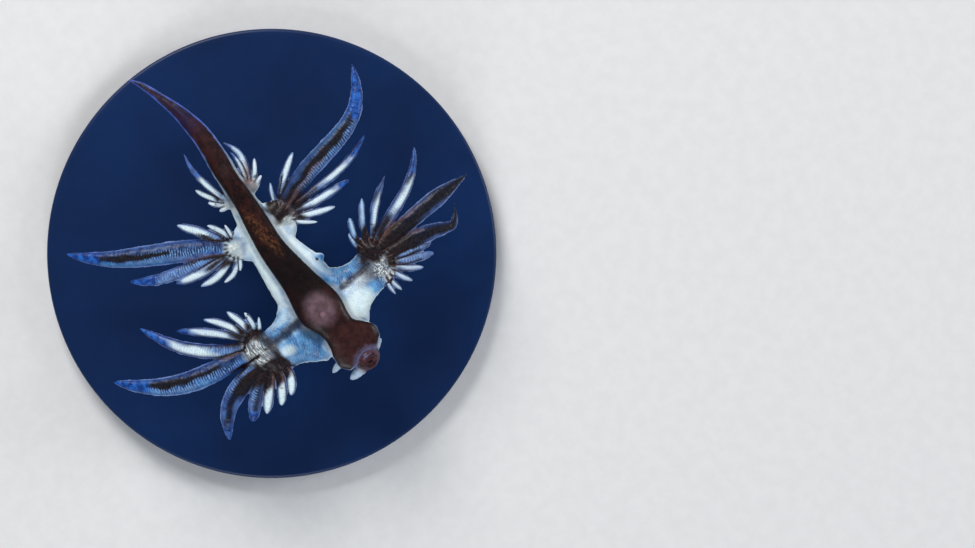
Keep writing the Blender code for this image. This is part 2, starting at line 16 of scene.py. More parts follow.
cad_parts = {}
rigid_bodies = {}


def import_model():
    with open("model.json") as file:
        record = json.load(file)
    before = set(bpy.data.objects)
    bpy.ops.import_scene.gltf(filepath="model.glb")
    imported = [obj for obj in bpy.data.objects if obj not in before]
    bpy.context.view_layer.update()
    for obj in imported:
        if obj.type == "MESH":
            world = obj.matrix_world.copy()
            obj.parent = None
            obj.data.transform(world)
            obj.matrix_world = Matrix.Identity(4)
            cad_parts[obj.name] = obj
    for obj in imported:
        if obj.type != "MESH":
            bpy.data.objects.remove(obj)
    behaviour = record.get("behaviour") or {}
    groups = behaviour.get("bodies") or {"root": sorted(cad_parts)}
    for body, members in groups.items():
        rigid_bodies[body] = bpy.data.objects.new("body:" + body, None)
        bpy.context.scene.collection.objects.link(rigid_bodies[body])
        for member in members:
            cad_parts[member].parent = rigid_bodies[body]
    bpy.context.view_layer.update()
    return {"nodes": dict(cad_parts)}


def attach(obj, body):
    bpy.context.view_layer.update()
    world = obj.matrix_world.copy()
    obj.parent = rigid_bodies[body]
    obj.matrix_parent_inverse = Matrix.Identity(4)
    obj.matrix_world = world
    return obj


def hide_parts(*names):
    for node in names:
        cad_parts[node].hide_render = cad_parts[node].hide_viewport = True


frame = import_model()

MM = 0.001
UPWARDS = np.array((0.0, 0.0, 1.0))

# The trunk, tail tip to snout: x, its left edge, its right edge, half its depth, height of its top.
TRUNK = (
    (-23.4, 0.38, 0.58, 0.10, 10.90),
    (-22.0, 0.80, 1.50, 0.33, 11.35),
    (-20.0, 1.22, 2.22, 0.50, 11.90),
    (-17.0, 1.55, 3.18, 0.75, 12.50),
    (-14.0, 1.50, 3.65, 0.95, 12.90),
    (-11.0, 1.00, 3.45, 1.12, 13.10),
    (-8.0, 0.52, 3.10, 1.35, 13.20),
    (-5.0, -0.40, 2.85, 1.60, 13.25),
    (-2.0, -1.45, 2.95, 1.85, 13.30),
    (1.0, -2.05, 3.30, 2.10, 13.40),
    (4.0, -2.60, 3.95, 2.35, 13.50),
    (8.0, -3.05, 3.95, 2.55, 13.60),
    (11.0, -2.50, 3.50, 2.30, 13.40),
    (13.0, -1.75, 3.25, 2.00, 13.00),
    (14.5, -0.95, 2.65, 1.60, 12.60),
    (15.7, -0.20, 1.95, 1.05, 12.20),
    (16.4, 0.60, 1.20, 0.30, 11.60),
)
TRUNK_SQUARENESS = 2.3

# How finely forms are modelled: rings along the trunk and where the snout closes, sides of a ring, and
# the gap between an arm's rings.
BODY_RINGS, BODY_SIDES, FINGER_SIDES, RING_GAP = 94, 48, 20, 0.22
SNOUT_RINGS = (15.7, 15.95, 16.2, 16.33)

# The sole of the foot: x, left edge, right edge. It widens into two lobes beside the mouth.
SOLE = (
    (-13.0, 1.45, 3.50),
    (-9.4, 0.90, 2.95),
    (-6.0, 0.50, 2.72),
    (-3.0, -0.20, 2.45),
    (0.0, -0.80, 2.10),
    (4.0, -1.20, 2.40),
    (8.0, -2.00, 2.90),
    (10.8, -1.25, 2.40),
    (12.0, -1.45, 3.20),
    (13.0, -1.85, 3.80),
    (13.9, -1.95, 3.65),
    (14.5, -1.75, 2.95),
    (15.0, -1.25, 2.35),
)
SOLE_SQUARENESS = 4.0
SOLE_DEPTH = 0.9
SOLE_CROWN = 0.25

# The belly swells under the sole: centre x and y, radius, height.
SWELLING = (8.3, 0.4, 1.7, 0.35)

# The mouth stands up through the notch in the front of the foot.
MOUTH = np.array((15.1, 0.9, 11.75))
MOUTH_RADII = np.array((1.30, 1.42, 1.15))
MOUTH_PITCH = math.radians(30)
LIP_RING, LIP_GIRTH, LIP_SINK = 0.60, 0.22, 0.21
MOUTH_SLIT, SLIT_LIFT = (0.34, 1.10, 0.80), 0.05
NOTCH = 0.16

# Feelers: greatest width, the root inside the head, the tip.
FEELERS = (
    (1.10, (15.60, 0.50, 11.6), (15.70, -1.95, 11.4)),
    (0.95, (15.15, 1.35, 11.5), (14.45, 3.35, 10.9)),
    (0.85, (13.40, -0.60, 11.0), (14.00, -3.05, 10.3)),
    (0.80, (13.30, 2.00, 10.9), (13.60, 3.65, 9.5)),
)
FEELER_FLATNESS = 0.7

# The genital papilla, on the animal's right flank: centre, the way it leans, radius, and its profile
# as heights and shares of the radius.
PAPILLA = np.array((3.8, 3.75, 11.6))
PAPILLA_LEAN = np.array((0.15, 1.0, 0.55))
PAPILLA_RADIUS = 0.50
PAPILLA_PROFILE = (
    (-0.9, 1.25), (-0.4, 1.2), (0.0, 1.15), (0.3, 0.85),
    (0.45, 0.7), (0.55, 0.55), (0.52, 0.35), (0.30, 0.25),
)

# Each arm or pad: distance out in Y, its rear edge, its front edge, half its depth, height of its middle.
ARM_FRONT_LEFT = (
    (-1.2, 4.9, 12.3, 1.50, 11.30),
    (-2.4, 4.6, 12.7, 1.55, 11.30),
    (-3.1, 5.2, 12.2, 1.50, 11.30),
    (-3.9, 5.8, 11.7, 1.35, 11.25),
    (-5.0, 6.05, 11.05, 1.20, 11.20),
    (-6.0, 6.0, 10.9, 1.15, 11.15),
    (-6.6, 5.4, 10.8, 1.20, 11.15),
    (-7.4, 5.1, 10.5, 1.20, 11.10),
    (-8.2, 5.6, 9.8, 1.05, 11.10),
    (-8.9, 6.9, 8.5, 0.55, 11.10),
)
ARM_FRONT_RIGHT = (
    (2.0, 5.2, 12.2, 1.50, 11.30),
    (3.4, 4.9, 12.3, 1.55, 11.30),
    (4.2, 5.5, 11.6, 1.45, 11.25),
    (5.0, 6.0, 11.0, 1.30, 11.20),
    (6.0, 6.2, 10.75, 1.20, 11.20),
    (7.1, 6.1, 10.6, 1.15, 11.15),
    (7.7, 5.3, 10.6, 1.20, 11.15),
    (8.5, 5.0, 10.5, 1.20, 11.10),
    (9.2, 5.6, 9.9, 1.05, 11.10),
    (9.9, 6.9, 8.7, 0.55, 11.10),
)
PAD_MID_LEFT = (
    (-0.3, -4.4, 0.6, 1.05, 11.35),
    (-1.4, -4.1, 0.1, 1.05, 11.35),
    (-2.0, -3.8, -0.6, 1.00, 11.30),
    (-2.7, -3.8, -1.3, 0.95, 11.30),
    (-3.4, -3.2, -2.0, 0.45, 11.25),
)
PAD_MID_RIGHT = (
    (1.8, -4.8, 1.4, 1.10, 11.35),
    (3.0, -4.3, 0.7, 1.10, 11.35),
    (3.9, -4.0, 0.0, 1.05, 11.30),
    (4.6, -3.7, -0.8, 0.90, 11.30),
    (5.2, -3.0, -1.5, 0.45, 11.30),
)
PAD_HIND_LEFT = (
    (1.2, -7.9, -5.2, 0.70, 11.70),
    (0.4, -7.5, -5.8, 0.65, 11.70),
    (-0.1, -7.2, -6.1, 0.60, 11.65),
    (-0.5, -6.9, -6.4, 0.35, 11.60),
)
PAD_HIND_RIGHT = (
    (2.1, -7.7, -5.1, 0.70, 11.70),
    (3.0, -7.4, -5.7, 0.65, 11.70),
    (3.6, -7.0, -5.9, 0.60, 11.65),
    (4.1, -6.7, -6.2, 0.35, 11.60),
)
ARM_SQUARENESS = 2.4

# A groove runs out along the upper side of each front arm: its x, half-width and depth.
GROOVE = (7.65, 0.42, 0.40)

# Outlines of a ceras: width of its neck, where it is widest, and two powers that shape its tip.
OUTLINES = {
    "leaf": (0.55, 0.55, 2.2, 0.55),
    "blade": (0.70, 0.38, 1.6, 0.60),
    "stub": (0.75, 0.55, 2.6, 0.50),
    "sabre": (0.80, 0.65, 1.4, 1.00),
    "hook": (0.80, 0.50, 1.3, 1.00),
    "spike": (0.62, 0.58, 1.3, 1.00),
    "thorn": (0.90, 0.45, 2.0, 0.60),
}

# The fans, each with its pad and the height its cerata leave the pad at. Each row is one ceras:
# greatest width, outline, x and y of its root, x and y of its tip, how far it bows to its left, the
# share of its length where it bows most, and its coat.
FANS = {
    "front_left": (ARM_FRONT_LEFT, 11.1, (
        (0.56, "leaf", 6.1, -6.45, 4.5, -5.1, -0.1, 0.4, "milk"),
        (0.68, "leaf", 5.9, -6.6, 3.1, -5.95, -0.25, 0.4, "milk"),
        (0.88, "leaf", 5.9, -6.9, 1.85, -7.35, -0.25, 0.45, "frost"),
        (0.92, "leaf", 5.9, -7.2, 0.95, -9.75, -0.4, 0.5, "frost"),
        (1.00, "leaf", 6.1, -7.5, 0.0, -12.8, -0.45, 0.4, "frost_blue_tip"),
        (1.60, "blade", 6.4, -7.8, -2.75, -15.55, 1.3, 0.5, "silver_blue"),
        (2.35, "blade", 6.9, -8.0, -0.1, -21.35, 1.68, 0.55, "striped_blue"),
        (2.15, "blade", 8.1, -7.9, 12.5, -15.8, -1.3, 0.6, "ink_blue_rim"),
        (1.50, "stub", 8.9, -7.8, 12.55, -12.65, -0.25, 0.45, "bark"),
        (1.22, "stub", 9.2, -7.4, 12.9, -11.0, 0.05, 0.4, "snow_dark_root"),
        (1.16, "stub", 9.4, -7.0, 13.2, -9.25, 0.35, 0.5, "snow_dark_root"),
        (1.12, "stub", 9.4, -6.6, 13.05, -7.75, 0.65, 0.45, "snow_dark_root"),
    )),
    "front_right": (ARM_FRONT_RIGHT, 11.1, (
        (0.56, "leaf", 6.2, 8.0, 3.8, 7.75, 0.3, 0.4, "sky_dark_root"),
        (0.78, "leaf", 6.2, 8.2, 2.6, 8.95, 0.45, 0.4, "sky_dark_root"),
        (0.82, "leaf", 6.2, 8.5, 1.85, 11.25, 0.25, 0.45, "sky_dark_root"),
        (0.94, "spike", 6.4, 8.8, 1.4, 15.05, 0.45, 0.55, "ash_dark_tip"),
        (1.28, "blade", 6.6, 9.0, 1.2, 19.0, -0.9, 0.65, "ash_violet_tip"),
        (1.95, "sabre", 7.2, 9.0, 7.05, 21.4, 0.2, 0.45, "ink"),
        (1.85, "hook", 8.0, 9.0, 10.7, 17.7, 0.45, 0.5, "ink"),
        (1.12, "leaf", 8.6, 9.0, 10.15, 13.8, 0.05, 0.5, "slate"),
        (1.02, "leaf", 9.0, 8.9, 11.15, 13.35, -0.05, 0.5, "slate"),
        (0.82, "leaf", 9.2, 8.7, 11.65, 11.6, -0.1, 0.5, "sky"),
        (0.76, "leaf", 9.3, 8.5, 12.0, 9.8, -0.1, 0.5, "sky"),
        (0.66, "leaf", 9.3, 8.2, 12.05, 8.3, -0.2, 0.5, "sky"),
        (0.56, "leaf", 9.3, 8.0, 12.0, 7.5, -0.2, 0.5, "sky"),
    )),
    "mid_left": (PAD_MID_LEFT, 11.3, (
        (0.54, "leaf", -3.0, -2.1, -5.25, -1.6, -0.1, 0.5, "milk"),
        (0.74, "leaf", -3.0, -2.2, -6.4, -3.1, -0.4, 0.4, "milk"),
        (1.12, "leaf", -3.0, -2.4, -8.45, -5.55, -0.2, 0.5, "sky_white_tip"),
        (2.40, "blade", -2.9, -2.5, -13.6, -16.4, 0.72, 0.7, "sparkling_blue"),
        (1.32, "leaf", -2.8, -2.6, -7.1, -13.15, 0.75, 0.65, "slate_blue_tip"),
        (1.14, "leaf", -2.55, -2.6, -3.85, -9.6, 0.4, 0.55, "snow_violet_tip"),
        (0.98, "leaf", -2.35, -2.6, -1.9, -7.75, 0.55, 0.55, "frost"),
        (0.70, "leaf", -2.15, -2.5, -0.6, -5.6, 0.6, 0.55, "milk"),
        (0.54, "leaf", -2.1, -2.3, -0.4, -3.5, 0.1, 0.5, "milk"),
    )),
    "mid_right": (PAD_MID_RIGHT, 11.3, (
        (0.56, "leaf", -2.7, 3.9, -5.6, 4.95, 0.25, 0.4, "sky"),
        (0.90, "leaf", -2.7, 4.1, -6.5, 8.85, 0.4, 0.4, "sky_white_tip"),
        (2.20, "blade", -2.5, 3.8, -9.6, 19.5, -2.4, 0.7, "brown_to_royal"),
        (0.94, "leaf", -2.0, 4.0, -3.1, 15.8, -0.75, 0.65, "brown_snow_royal"),
        (0.97, "leaf", -1.7, 4.0, -0.45, 11.5, -0.2, 0.4, "frost_blue_tip"),
        (0.86, "leaf", -1.5, 3.9, 0.8, 8.6, -0.15, 0.45, "frost"),
        (0.58, "leaf", -1.3, 3.8, 0.85, 6.1, -0.1, 0.4, "milk"),
    )),
    "hind_left": (PAD_HIND_LEFT, 11.65, (
        (0.80, "blade", -6.7, 0.2, -13.6, -0.1, 0.5, 0.6, "snow_to_violet"),
        (0.74, "leaf", -6.7, 0.15, -10.05, -1.65, 0.15, 0.6, "frost"),
        (0.64, "leaf", -6.6, 0.1, -8.15, -1.5, 0.15, 0.4, "frost"),
        (0.54, "leaf", -6.5, 0.1, -6.65, -1.15, 0.05, 0.5, "milk"),
    )),
    "hind_right": (PAD_HIND_RIGHT, 11.65, (
        (0.62, "blade", -6.8, 3.05, -10.8, 3.75, -0.25, 0.6, "rosy"),
        (0.98, "blade", -6.7, 3.1, -11.95, 3.8, -0.82, 0.6, "rosy"),
        (0.66, "leaf", -6.5, 3.2, -8.65, 5.3, -0.2, 0.5, "frost"),
        (0.54, "leaf", -6.4, 3.2, -6.75, 4.75, -0.1, 0.5, "milk"),
    )),
}

# The build of a ceras: its flatness and least thickness, how those in the middle of a row droop and
# those at its ends lift, by chance a little more or less, its bow upwards as a share of its length, where
# a hooked one turns and how far, and how blunt its tip is.
CERATA_FLATNESS = 0.75
LEAST_THICKNESS = 0.5
CERATA_DROOP = math.radians(-6)
CERATA_LIFT = math.radians(9)
CERATA_JITTER = math.radians(3)
CERATA_BOW = 0.04
CERATA_SEED = 11
HOOK_START, HOOK_TURN = 0.86, 2.3
TIP_SHARE = 0.10

# Coats of the cerata. steel is the strength of the blue-grey ground, and edge that of the dark blue
# along the sides. The marks are azure, snow, pale dashes, an ink core, a brown stripe, rust, a brown root
# and a royal blue tip. Each holds its strength and the shares of the length where it starts and ends. A
# mark narrower than its ceras also holds its middle and its half width across, in half widths of the
# ceras, positive to its left.
COATS = dict(
    milk=dict(steel=0.40, snow=(0.75, 0.38, 1.2, 0.1, 0.9), root=(0.75, -0.5, 0.34)),
    frost=dict(
        steel=0.55, snow=(0.95, 0.38, 0.93, 0.15, 0.80), root=(0.85, -0.5, 0.38), royal=(0.45, 0.94, 1.5)
    ),
    frost_blue_tip=dict(
        steel=0.70, snow=(0.95, 0.32, 0.76, 0.15, 0.75), root=(0.80, -0.5, 0.30), royal=(1.0, 0.80, 1.5)
    ),
    silver_blue=dict(
        steel=0.90, snow=(1.0, 0.34, 0.70, 0.20, 0.75), dash=(0.85, 0.10, 0.55, 0.15, 0.80),
        core=(0.85, 0.05, 0.60, -0.65, 0.30), root=(0.65, -0.5, 0.16), royal=(1.0, 0.70, 1.5)
    ),
    striped_blue=dict(
        steel=1.0, azure=(0.75, 0.30, 0.85, 0.75, 0.35), dash=(0.90, 0.08, 0.74, 0.40, 0.50),
        core=(0.75, -0.1, 0.72, -0.25, 0.70), stripe=(1.0, 0.22, 0.74, -0.20, 0.36),
        rust=(0.80, -0.3, 0.18, -0.75, 0.22), root=(0.55, -0.5, 0.10), royal=(0.95, 0.74, 1.5)
    ),
    sparkling_blue=dict(
        steel=1.0, azure=(0.75, 0.30, 0.80, 0.70, 0.35), dash=(1.0, 0.06, 0.58, 0.10, 0.40),
        core=(0.70, -0.1, 0.80, -0.25, 0.75), stripe=(1.0, 0.34, 0.80, 0.02, 0.34),
        rust=(0.60, 0.05, 0.30, 0.85, 0.20), root=(0.55, -0.5, 0.08), royal=(1.0, 0.78, 1.5)
    ),
    ink_blue_rim=dict(
        steel=0.95, dash=(1.0, -0.2, 0.52, -0.80, 0.42), stripe=(1.0, -0.2, 0.46, 0.25, 0.60),
        core=(1.15, 0.20, 0.96, 0.08, 0.62), root=(0.80, -0.5, 0.10), royal=(0.50, 0.80, 1.5)
    ),
    bark=dict(
        steel=0.85, dash=(0.90, 0.18, 0.66, -0.35, 0.55), core=(1.0, 0.05, 0.84, 0.25, 0.60),
        root=(0.95, -0.5, 0.40), royal=(1.0, 0.82, 1.5)
    ),
    snow_dark_root=dict(
        steel=0.40, snow=(1.0, 0.50, 0.97, 0.0, 0.85), rust=(0.70, -0.3, 0.50, 0.5, 0.25),
        root=(1.0, -0.5, 0.50), royal=(0.50, 0.94, 1.5)
    ),
    sky_dark_root=dict(
        steel=0.55, azure=(0.70, 0.15, 1.5, -0.1, 1.0), snow=(0.50, 0.50, 0.95, -0.2, 0.50),
        root=(1.0, -0.5, 0.42)
    ),
    sky=dict(
        steel=0.65, snow=(0.60, 0.40, 0.92, 0.2, 0.50), core=(0.50, 0.10, 0.60, -0.6, 0.35),
        root=(0.75, -0.5, 0.30)
    ),
    sky_white_tip=dict(
        steel=0.80, snow=(1.0, 0.45, 0.95, 0.15, 0.85), dash=(0.70, 0.15, 0.60, -0.2, 0.80),
        stripe=(0.80, 0.05, 0.60, 0.45, 0.30), root=(0.80, -0.5, 0.26)
    ),
    ash_dark_tip=dict(
        steel=0.75, snow=(0.90, 0.25, 0.60, -0.30, 0.50), core=(0.95, 0.58, 1.5, 0.15, 0.80),
        root=(0.85, -0.5, 0.24), royal=(0.40, 0.70, 1.5)
    ),
    ash_violet_tip=dict(
        steel=0.80, snow=(1.0, 0.34, 0.64, -0.30, 0.65), core=(0.95, 0.62, 0.92, 0.10, 0.80),
        stripe=(0.80, -0.2, 0.34, 0.15, 0.70), rust=(0.90, -0.3, 0.32, -0.80, 0.30),
        root=(0.85, -0.5, 0.20), royal=(0.60, 0.74, 1.5)
    ),
    ink=dict(
        steel=0.90, core=(1.1, -0.3, 1.5, 0.2, 0.95), stripe=(0.85, -0.5, 1.2, -0.15, 0.55),
        rust=(0.60, -0.3, 0.45, 0.80, 0.25), root=(1.0, -0.5, 0.40)
    ),
    slate=dict(
        steel=0.85, dash=(0.75, 0.15, 0.75, 0.2, 0.60), stripe=(0.65, 0.05, 0.75, -0.60, 0.40),
        root=(0.80, -0.5, 0.28)
    ),
    slate_blue_tip=dict(
        steel=0.90, dash=(0.85, 0.20, 0.72, 0.0, 0.90), stripe=(0.60, 0.05, 0.50, -0.45, 0.30),
        root=(0.60, -0.5, 0.18), royal=(1.0, 0.72, 1.5)
    ),
    snow_violet_tip=dict(
        steel=0.60, snow=(1.0, 0.54, 0.88, 0.05, 0.80), stripe=(0.75, 0.02, 0.50, 0.0, 0.50),
        root=(0.80, -0.5, 0.30), royal=(0.70, 0.90, 1.5)
    ),
    brown_to_royal=dict(
        steel=0.95, azure=(0.60, 0.30, 0.80, 0.75, 0.35), dash=(1.0, 0.14, 0.66, -0.60, 0.50),
        core=(0.85, -0.1, 0.72, 0.10, 0.90), stripe=(0.95, 0.02, 0.66, 0.02, 0.40),
        rust=(0.60, -0.3, 0.40, -0.40, 0.20), root=(0.80, -0.5, 0.16), royal=(1.0, 0.68, 1.5)
    ),
    brown_snow_royal=dict(
        steel=0.75, snow=(0.95, 0.44, 0.70, -0.1, 0.70), rust=(0.80, -0.3, 0.40, 0.60, 0.25),
        stripe=(0.60, 0.02, 0.40, 0.0, 0.50), root=(0.80, -0.5, 0.30), royal=(1.0, 0.73, 1.5)
    ),
    snow_to_violet=dict(
        steel=0.55, snow=(1.0, 0.22, 0.56, 0.2, 0.70), core=(0.60, 0.55, 1.5, 0.0, 0.50),
        root=(0.50, -0.5, 0.16), royal=(0.75, 0.60, 1.5)
    ),
    rosy=dict(
        steel=0.75, snow=(0.75, 0.18, 0.76, 0.0, 0.60), stripe=(0.60, -0.2, 0.40, 0.55, 0.30),
        rust=(0.90, -0.3, 0.45, -0.4, 0.35), root=(0.60, -0.5, 0.22), royal=(0.50, 0.80, 1.5)
    ),
    feeler=dict(steel=0.45, edge=0.1, snow=(0.40, 0.0, 1.2), royal=(0.25, 0.85, 1.5)),
)

# How softly the plain marks start and end, in shares of the length.
MARK_SOFTNESS = {"azure": 0.08, "dash": 0.08, "core": 0.07, "royal": 0.03, "rust": 0.06}

# How far the lines between the fingers run out from their roots.
SEAM_REACH = 2.9

# The fans whose fingers are parted by a pale line at their roots. Those of the others are dark.
PALE_SEAMS = ("front_right", "mid_right")

# Strokes of paint on the upper side of the arms, pads and flanks: which paint, x, y, half length,
# half width, the way the stroke runs in degrees from +X, strength.
STROKES = {
    "azure": (
        (6.3, -4.4, 2.6, 1.50, 90, 1.20), (10.2, -3.7, 3.0, 3.0, 90, 1.20),
        (6.1, 5.3, 3.2, 1.70, 90, 1.60), (9.9, 6.5, 1.2, 1.0, 90, 1.30), (5.4, 4.2, 2.2, 1.2, 20, 2.0),
        (-3.4, -2.3, 0.8, 1.2, 0, 0.60), (-0.6, -2.0, 0.8, 0.9, 0, 0.50), (3.9, 3.4, 0.8, 0.6, 0, 0.60),
    ),
    # Painted shadow: soft navy shade in the grooves of the front arms and along the edge of the foot, and
    # lighter painted shade over parts of the arms and the right flank.
    "shade": (
        (7.65, -3.4, 2.9, 0.62, 90, 0.95), (9.0, -2.0, 2.5, 0.75, 12, 0.80),
        (10.4, -3.5, 2.2, 1.6, 90, 0.28), (5.6, 4.2, 1.8, 1.0, 20, 0.40), (6.4, 6.0, 1.6, 0.9, 90, 0.20),
        (7.75, 5.2, 2.8, 0.48, 90, 0.95), (8.6, 6.4, 1.6, 1.0, 90, 0.35),
    ),
    "snow": (
        (9.2, -5.0, 1.0, 0.70, 70, 0.85), (6.3, -3.6, 1.8, 0.5, 90, 0.50),
        (10.2, 4.2, 1.8, 1.8, 90, 0.95), (-2.5, -2.6, 1.2, 1.1, 0, 1.30), (-1.5, 3.8, 0.9, 0.8, 0, 0.80),
        (2.0, 2.7, 4.2, 0.7, 12, 0.70), (1.0, -1.5, 5.5, 0.9, -16, 0.95),
    ),
    "umber": (
        (4.8, -7.0, 2.0, 1.5, 90, 1.3), (7.2, -6.0, 2.2, 0.6, 0, 0.60), (10.3, -7.5, 2.6, 1.9, 90, 1.4),
        (9.0, -9.2, 1.6, 1.1, 60, 1.3), (6.2, 8.9, 2.2, 2.1, 90, 1.4), (8.9, 10.0, 1.3, 1.6, 0, 1.0),
        (-3.1, 4.4, 2.2, 1.8, 90, 1.4), (3.75, 3.55, 0.26, 0.20, 0, 0.80),
    ),
    "paper": (
        (7.4, -7.8, 2.3, 1.15, 0, 1.30), (9.0, 8.5, 1.5, 1.35, 0, 1.10), (-2.4, -2.5, 1.1, 0.8, 0, 0.90),
        (-1.5, 3.9, 0.9, 0.8, 0, 0.90),
    ),
    "rust": (
        (-7.0, 3.3, 1.1, 0.6, 0, 0.80),
    ),
}

# The papery folds on each pad: its centre x and y, its reach, the hub that the folds lie round, how
# many folds there are to a millimetre outwards from the hub and round it, and how dark the skin is
# between them.
PAD_FOLDS = (
    (7.4, -7.5, 2.7, 7.4, -2.6, 1.5, 0.22, 0.80),
    (8.0, 8.1, 2.5, 7.8, 3.6, 1.4, 1.0, 0.75),
    (-2.7, -2.3, 1.7, -2.0, 0.4, 0.25, 1.5, 0.40),
    (-2.0, 4.1, 1.7, -1.8, 1.2, 0.25, 1.5, 0.65),
    (-6.7, 0.4, 1.0, -6.6, 1.8, 0.25, 1.8, 0.50),
    (-6.6, 3.1, 1.0, -6.6, 1.8, 0.25, 1.8, 0.60),
)

# The hollows between the front arms and the flanks. Fine lines run in from them over the arms.
HOLLOWS = {"rear": ((3.2, -5.2), (3.4, 6.2)), "front": ((13.6, -5.2), (13.6, 6.2))}
RAY_SPREAD = 4.0

# The relief of the skin: wrinkles as height, length and seed, the rings and the furrow of a ceras, the
# folds of the pads, the creases and lines between fingers, how much of it all the sole lacks, the rim
# and furrow of the tail as place inside its edge, half width and height, and the gap between fine lines.
WRINKLES = ((0.022, 1.3, 1), (0.012, 0.6, 2))
RING_HEIGHT, RING_LENGTH = 0.008, 0.42
FURROW_DEPTH, FURROW_HALF = 0.03, 0.22
FOLD_HEIGHT, CREASE_DEPTH, SEAM_DEPTH = 0.11, 0.06, 0.07
SOLE_CALM = 0.6
TAIL_RIM, TAIL_FURROW = (0.14, 0.12, 0.05), (0.42, 0.16, -0.05)
STRIA_LENGTH = 0.27

# The finish of the skin.
VOXEL = 0.1
SKIN_TRIANGLES = 190000
SMOOTHINGS = 4

# The stand: the base, the rods with their x and how far they reach into the back, and the collar's
# profile as heights above the base and radii.
BASE_RADIUS, BASE_DEPTH, BASE_BEVEL, BASE_INSET = 24.0, 2.4, 0.35, 0.5
RODS = (("front", 7.2), ("rear", -4.0))
ROD_RADIUS, ROD_SEAT = 0.6, 0.35
COLLAR = ((-0.2, 1.35), (0.0, 1.5), (0.25, 1.5), (0.5, 1.3), (0.62, 0.95), (0.75, 0.62))
SHAFT_START = 0.9
SHARP_ANGLE = math.radians(50)

# The camera looks straight down on this point, turned so that the tail points up and left. Its span is
# the width of the picture at the height of the animal.
CAMERA_AIM = (16.5, 16.24)
CAMERA_HEIGHT = 600.0
CAMERA_TURN = math.radians(50)
CAMERA_SPAN = 102.4
ANIMAL_HEIGHT = 12.0
SENSOR = 36.0

# The soft boxes, in metres: name, place, size, power, colour. The room is a dim white.
LIGHTS = (
    ("key", (-0.34, 0.10, 0.30), 0.20, 1.75, (1.0, 0.98, 0.96)),
    ("fill", (0.30, -0.30, 0.26), 0.24, 1.15, (0.92, 0.96, 1.0)),
    ("back", (0.20, 0.40, 0.24), 0.20, 0.85, (0.95, 0.97, 1.0)),
)
LIGHT_AIM = Vector((0.0, 0.0, 0.011))
ROOM_COLOUR, ROOM_STRENGTH = (0.86, 0.88, 0.92, 1.0), 0.20


def rise(value, low, high):
    """From 0 at low to 1 at high, smoothly."""
    t = np.clip((value - low) / (high - low), 0.0, 1.0)
    return t * t * (3 - 2 * t)


def band(value, start, end, soft):
    """1 between start and end, fading out over soft."""
    return rise(value, start - soft, start + soft) * (1 - rise(value, end - soft, end + soft))


def unit(vector):
    return vector / np.linalg.norm(vector, axis=-1, keepdims=True)


def sizes_at(stations, x):
    """The sizes at x, on a smooth curve through the stations that never overshoots them."""
    table = np.array(sorted(stations), float)
    xs, values = table[:, 0], table[:, 1:]
    spans = np.diff(xs)
    slopes = np.diff(values, axis=0) / spans[:, None]
    before, after = slopes[:-1], slopes[1:]
    turning = before * after <= 0
    inner = np.where(turning, 0.0, 2 * before * after / np.where(turning, 1.0, before + after))
    tangents = np.vstack([slopes[:1], inner, slopes[-1:]])
    i = np.clip(np.searchsorted(xs, x, side="right") - 1, 0, len(xs) - 2)
    t = np.clip((x - xs[i]) / spans[i], 0.0, 1.0)[..., None]
    straight = (2 * t**3 - 3 * t**2 + 1) * values[i] + (3 * t**2 - 2 * t**3) * values[i + 1]
    swing = (t**3 - 2 * t**2 + t) * tangents[i] + (t**3 - t**2) * tangents[i + 1]
    return straight + swing * spans[i][..., None]


def ripples(points, wavelength, seed, waves=14):
    """Smooth uneven ripples, mostly between -1 and 1, summed from waves that run every way."""
    chance = np.random.default_rng(seed)
    total = np.zeros(len(points))
    for way in unit(chance.normal(size=(waves, 3))):
        length = wavelength * chance.uniform(0.7, 1.5)
        total += np.sin(points @ way * 2 * math.pi / length + chance.uniform(0, 2 * math.pi))
    return total / math.sqrt(waves)


def begin(name):
    """A new empty mesh at the origin, open in edit mode."""
    bpy.ops.object.select_all(action="DESELECT")
    bpy.ops.object.add(type="MESH")
    form = bpy.context.object
    form.name = name
    bpy.ops.object.mode_set(mode="EDIT")
    return form


def add_ring(middle, across, up, half_width, half_height, sides):
    """A circle of the open form, turned and flattened to be one section of it."""
    turn = Matrix((across, up, np.cross(across, up))).transposed()
    bpy.ops.mesh.primitive_circle_add(
        vertices=sides, radius=half_width, fill_type="NOTHING", location=middle, rotation=turn.to_euler()
    )
    flatten(middle, turn, (1.0, half_height / half_width, 1.0))


def flatten(middle, turn, shares):
    """Scales what is selected by these shares of its size, along the axes of its own turn."""
    bpy.ops.transform.resize(
        value=shares,
        orient_type="GLOBAL",
        orient_matrix=turn,
        orient_matrix_type="GLOBAL",
        center_override=middle,
    )


def close_form():
    """Bridges the rings of the open form, caps its ends and leaves edit mode."""
    bpy.ops.mesh.select_all(action="SELECT")
    bpy.ops.mesh.bridge_edge_loops()
    bpy.ops.mesh.select_all(action="SELECT")
    bpy.ops.mesh.fill_holes(sides=0)
    bpy.ops.mesh.normals_make_consistent(inside=False)
    bpy.ops.object.mode_set(mode="OBJECT")


def points_of(form):
    points = np.zeros(len(form.data.vertices) * 3)
    form.data.vertices.foreach_get("co", points)
    return points.reshape(-1, 3)


def set_points(form, points):
    form.data.vertices.foreach_set("co", points.ravel())
    form.data.update()


def squared(offset, half, partner, partner_half, squareness):
    """Pushes a point of an ellipse out to the superellipse in the same box."""
    share, other = offset / half, partner / partner_half
    length = np.hypot(share, other)
    length = np.where(length < 1e-6, 1.0, length)
    power = 2.0 / squareness
    return np.sign(share) * np.abs(share / length) ** power * length * half


def trunk_section(x):
    left, right, half_depth, top = sizes_at(TRUNK, x).T
    return left, right, half_depth, top - half_depth


def sole_level(x):
    """The height of the sole's edge. Behind the foot it sinks away into the tail."""
    top = sizes_at(TRUNK, x)[..., 3]
    return top - 0.5 * (1 - rise(x, -13.0, -7.5))


def sole_section(x):
    left, right = sizes_at(SOLE, x).T
    return left, right, SOLE_DEPTH / 2, sole_level(x) - SOLE_DEPTH / 2


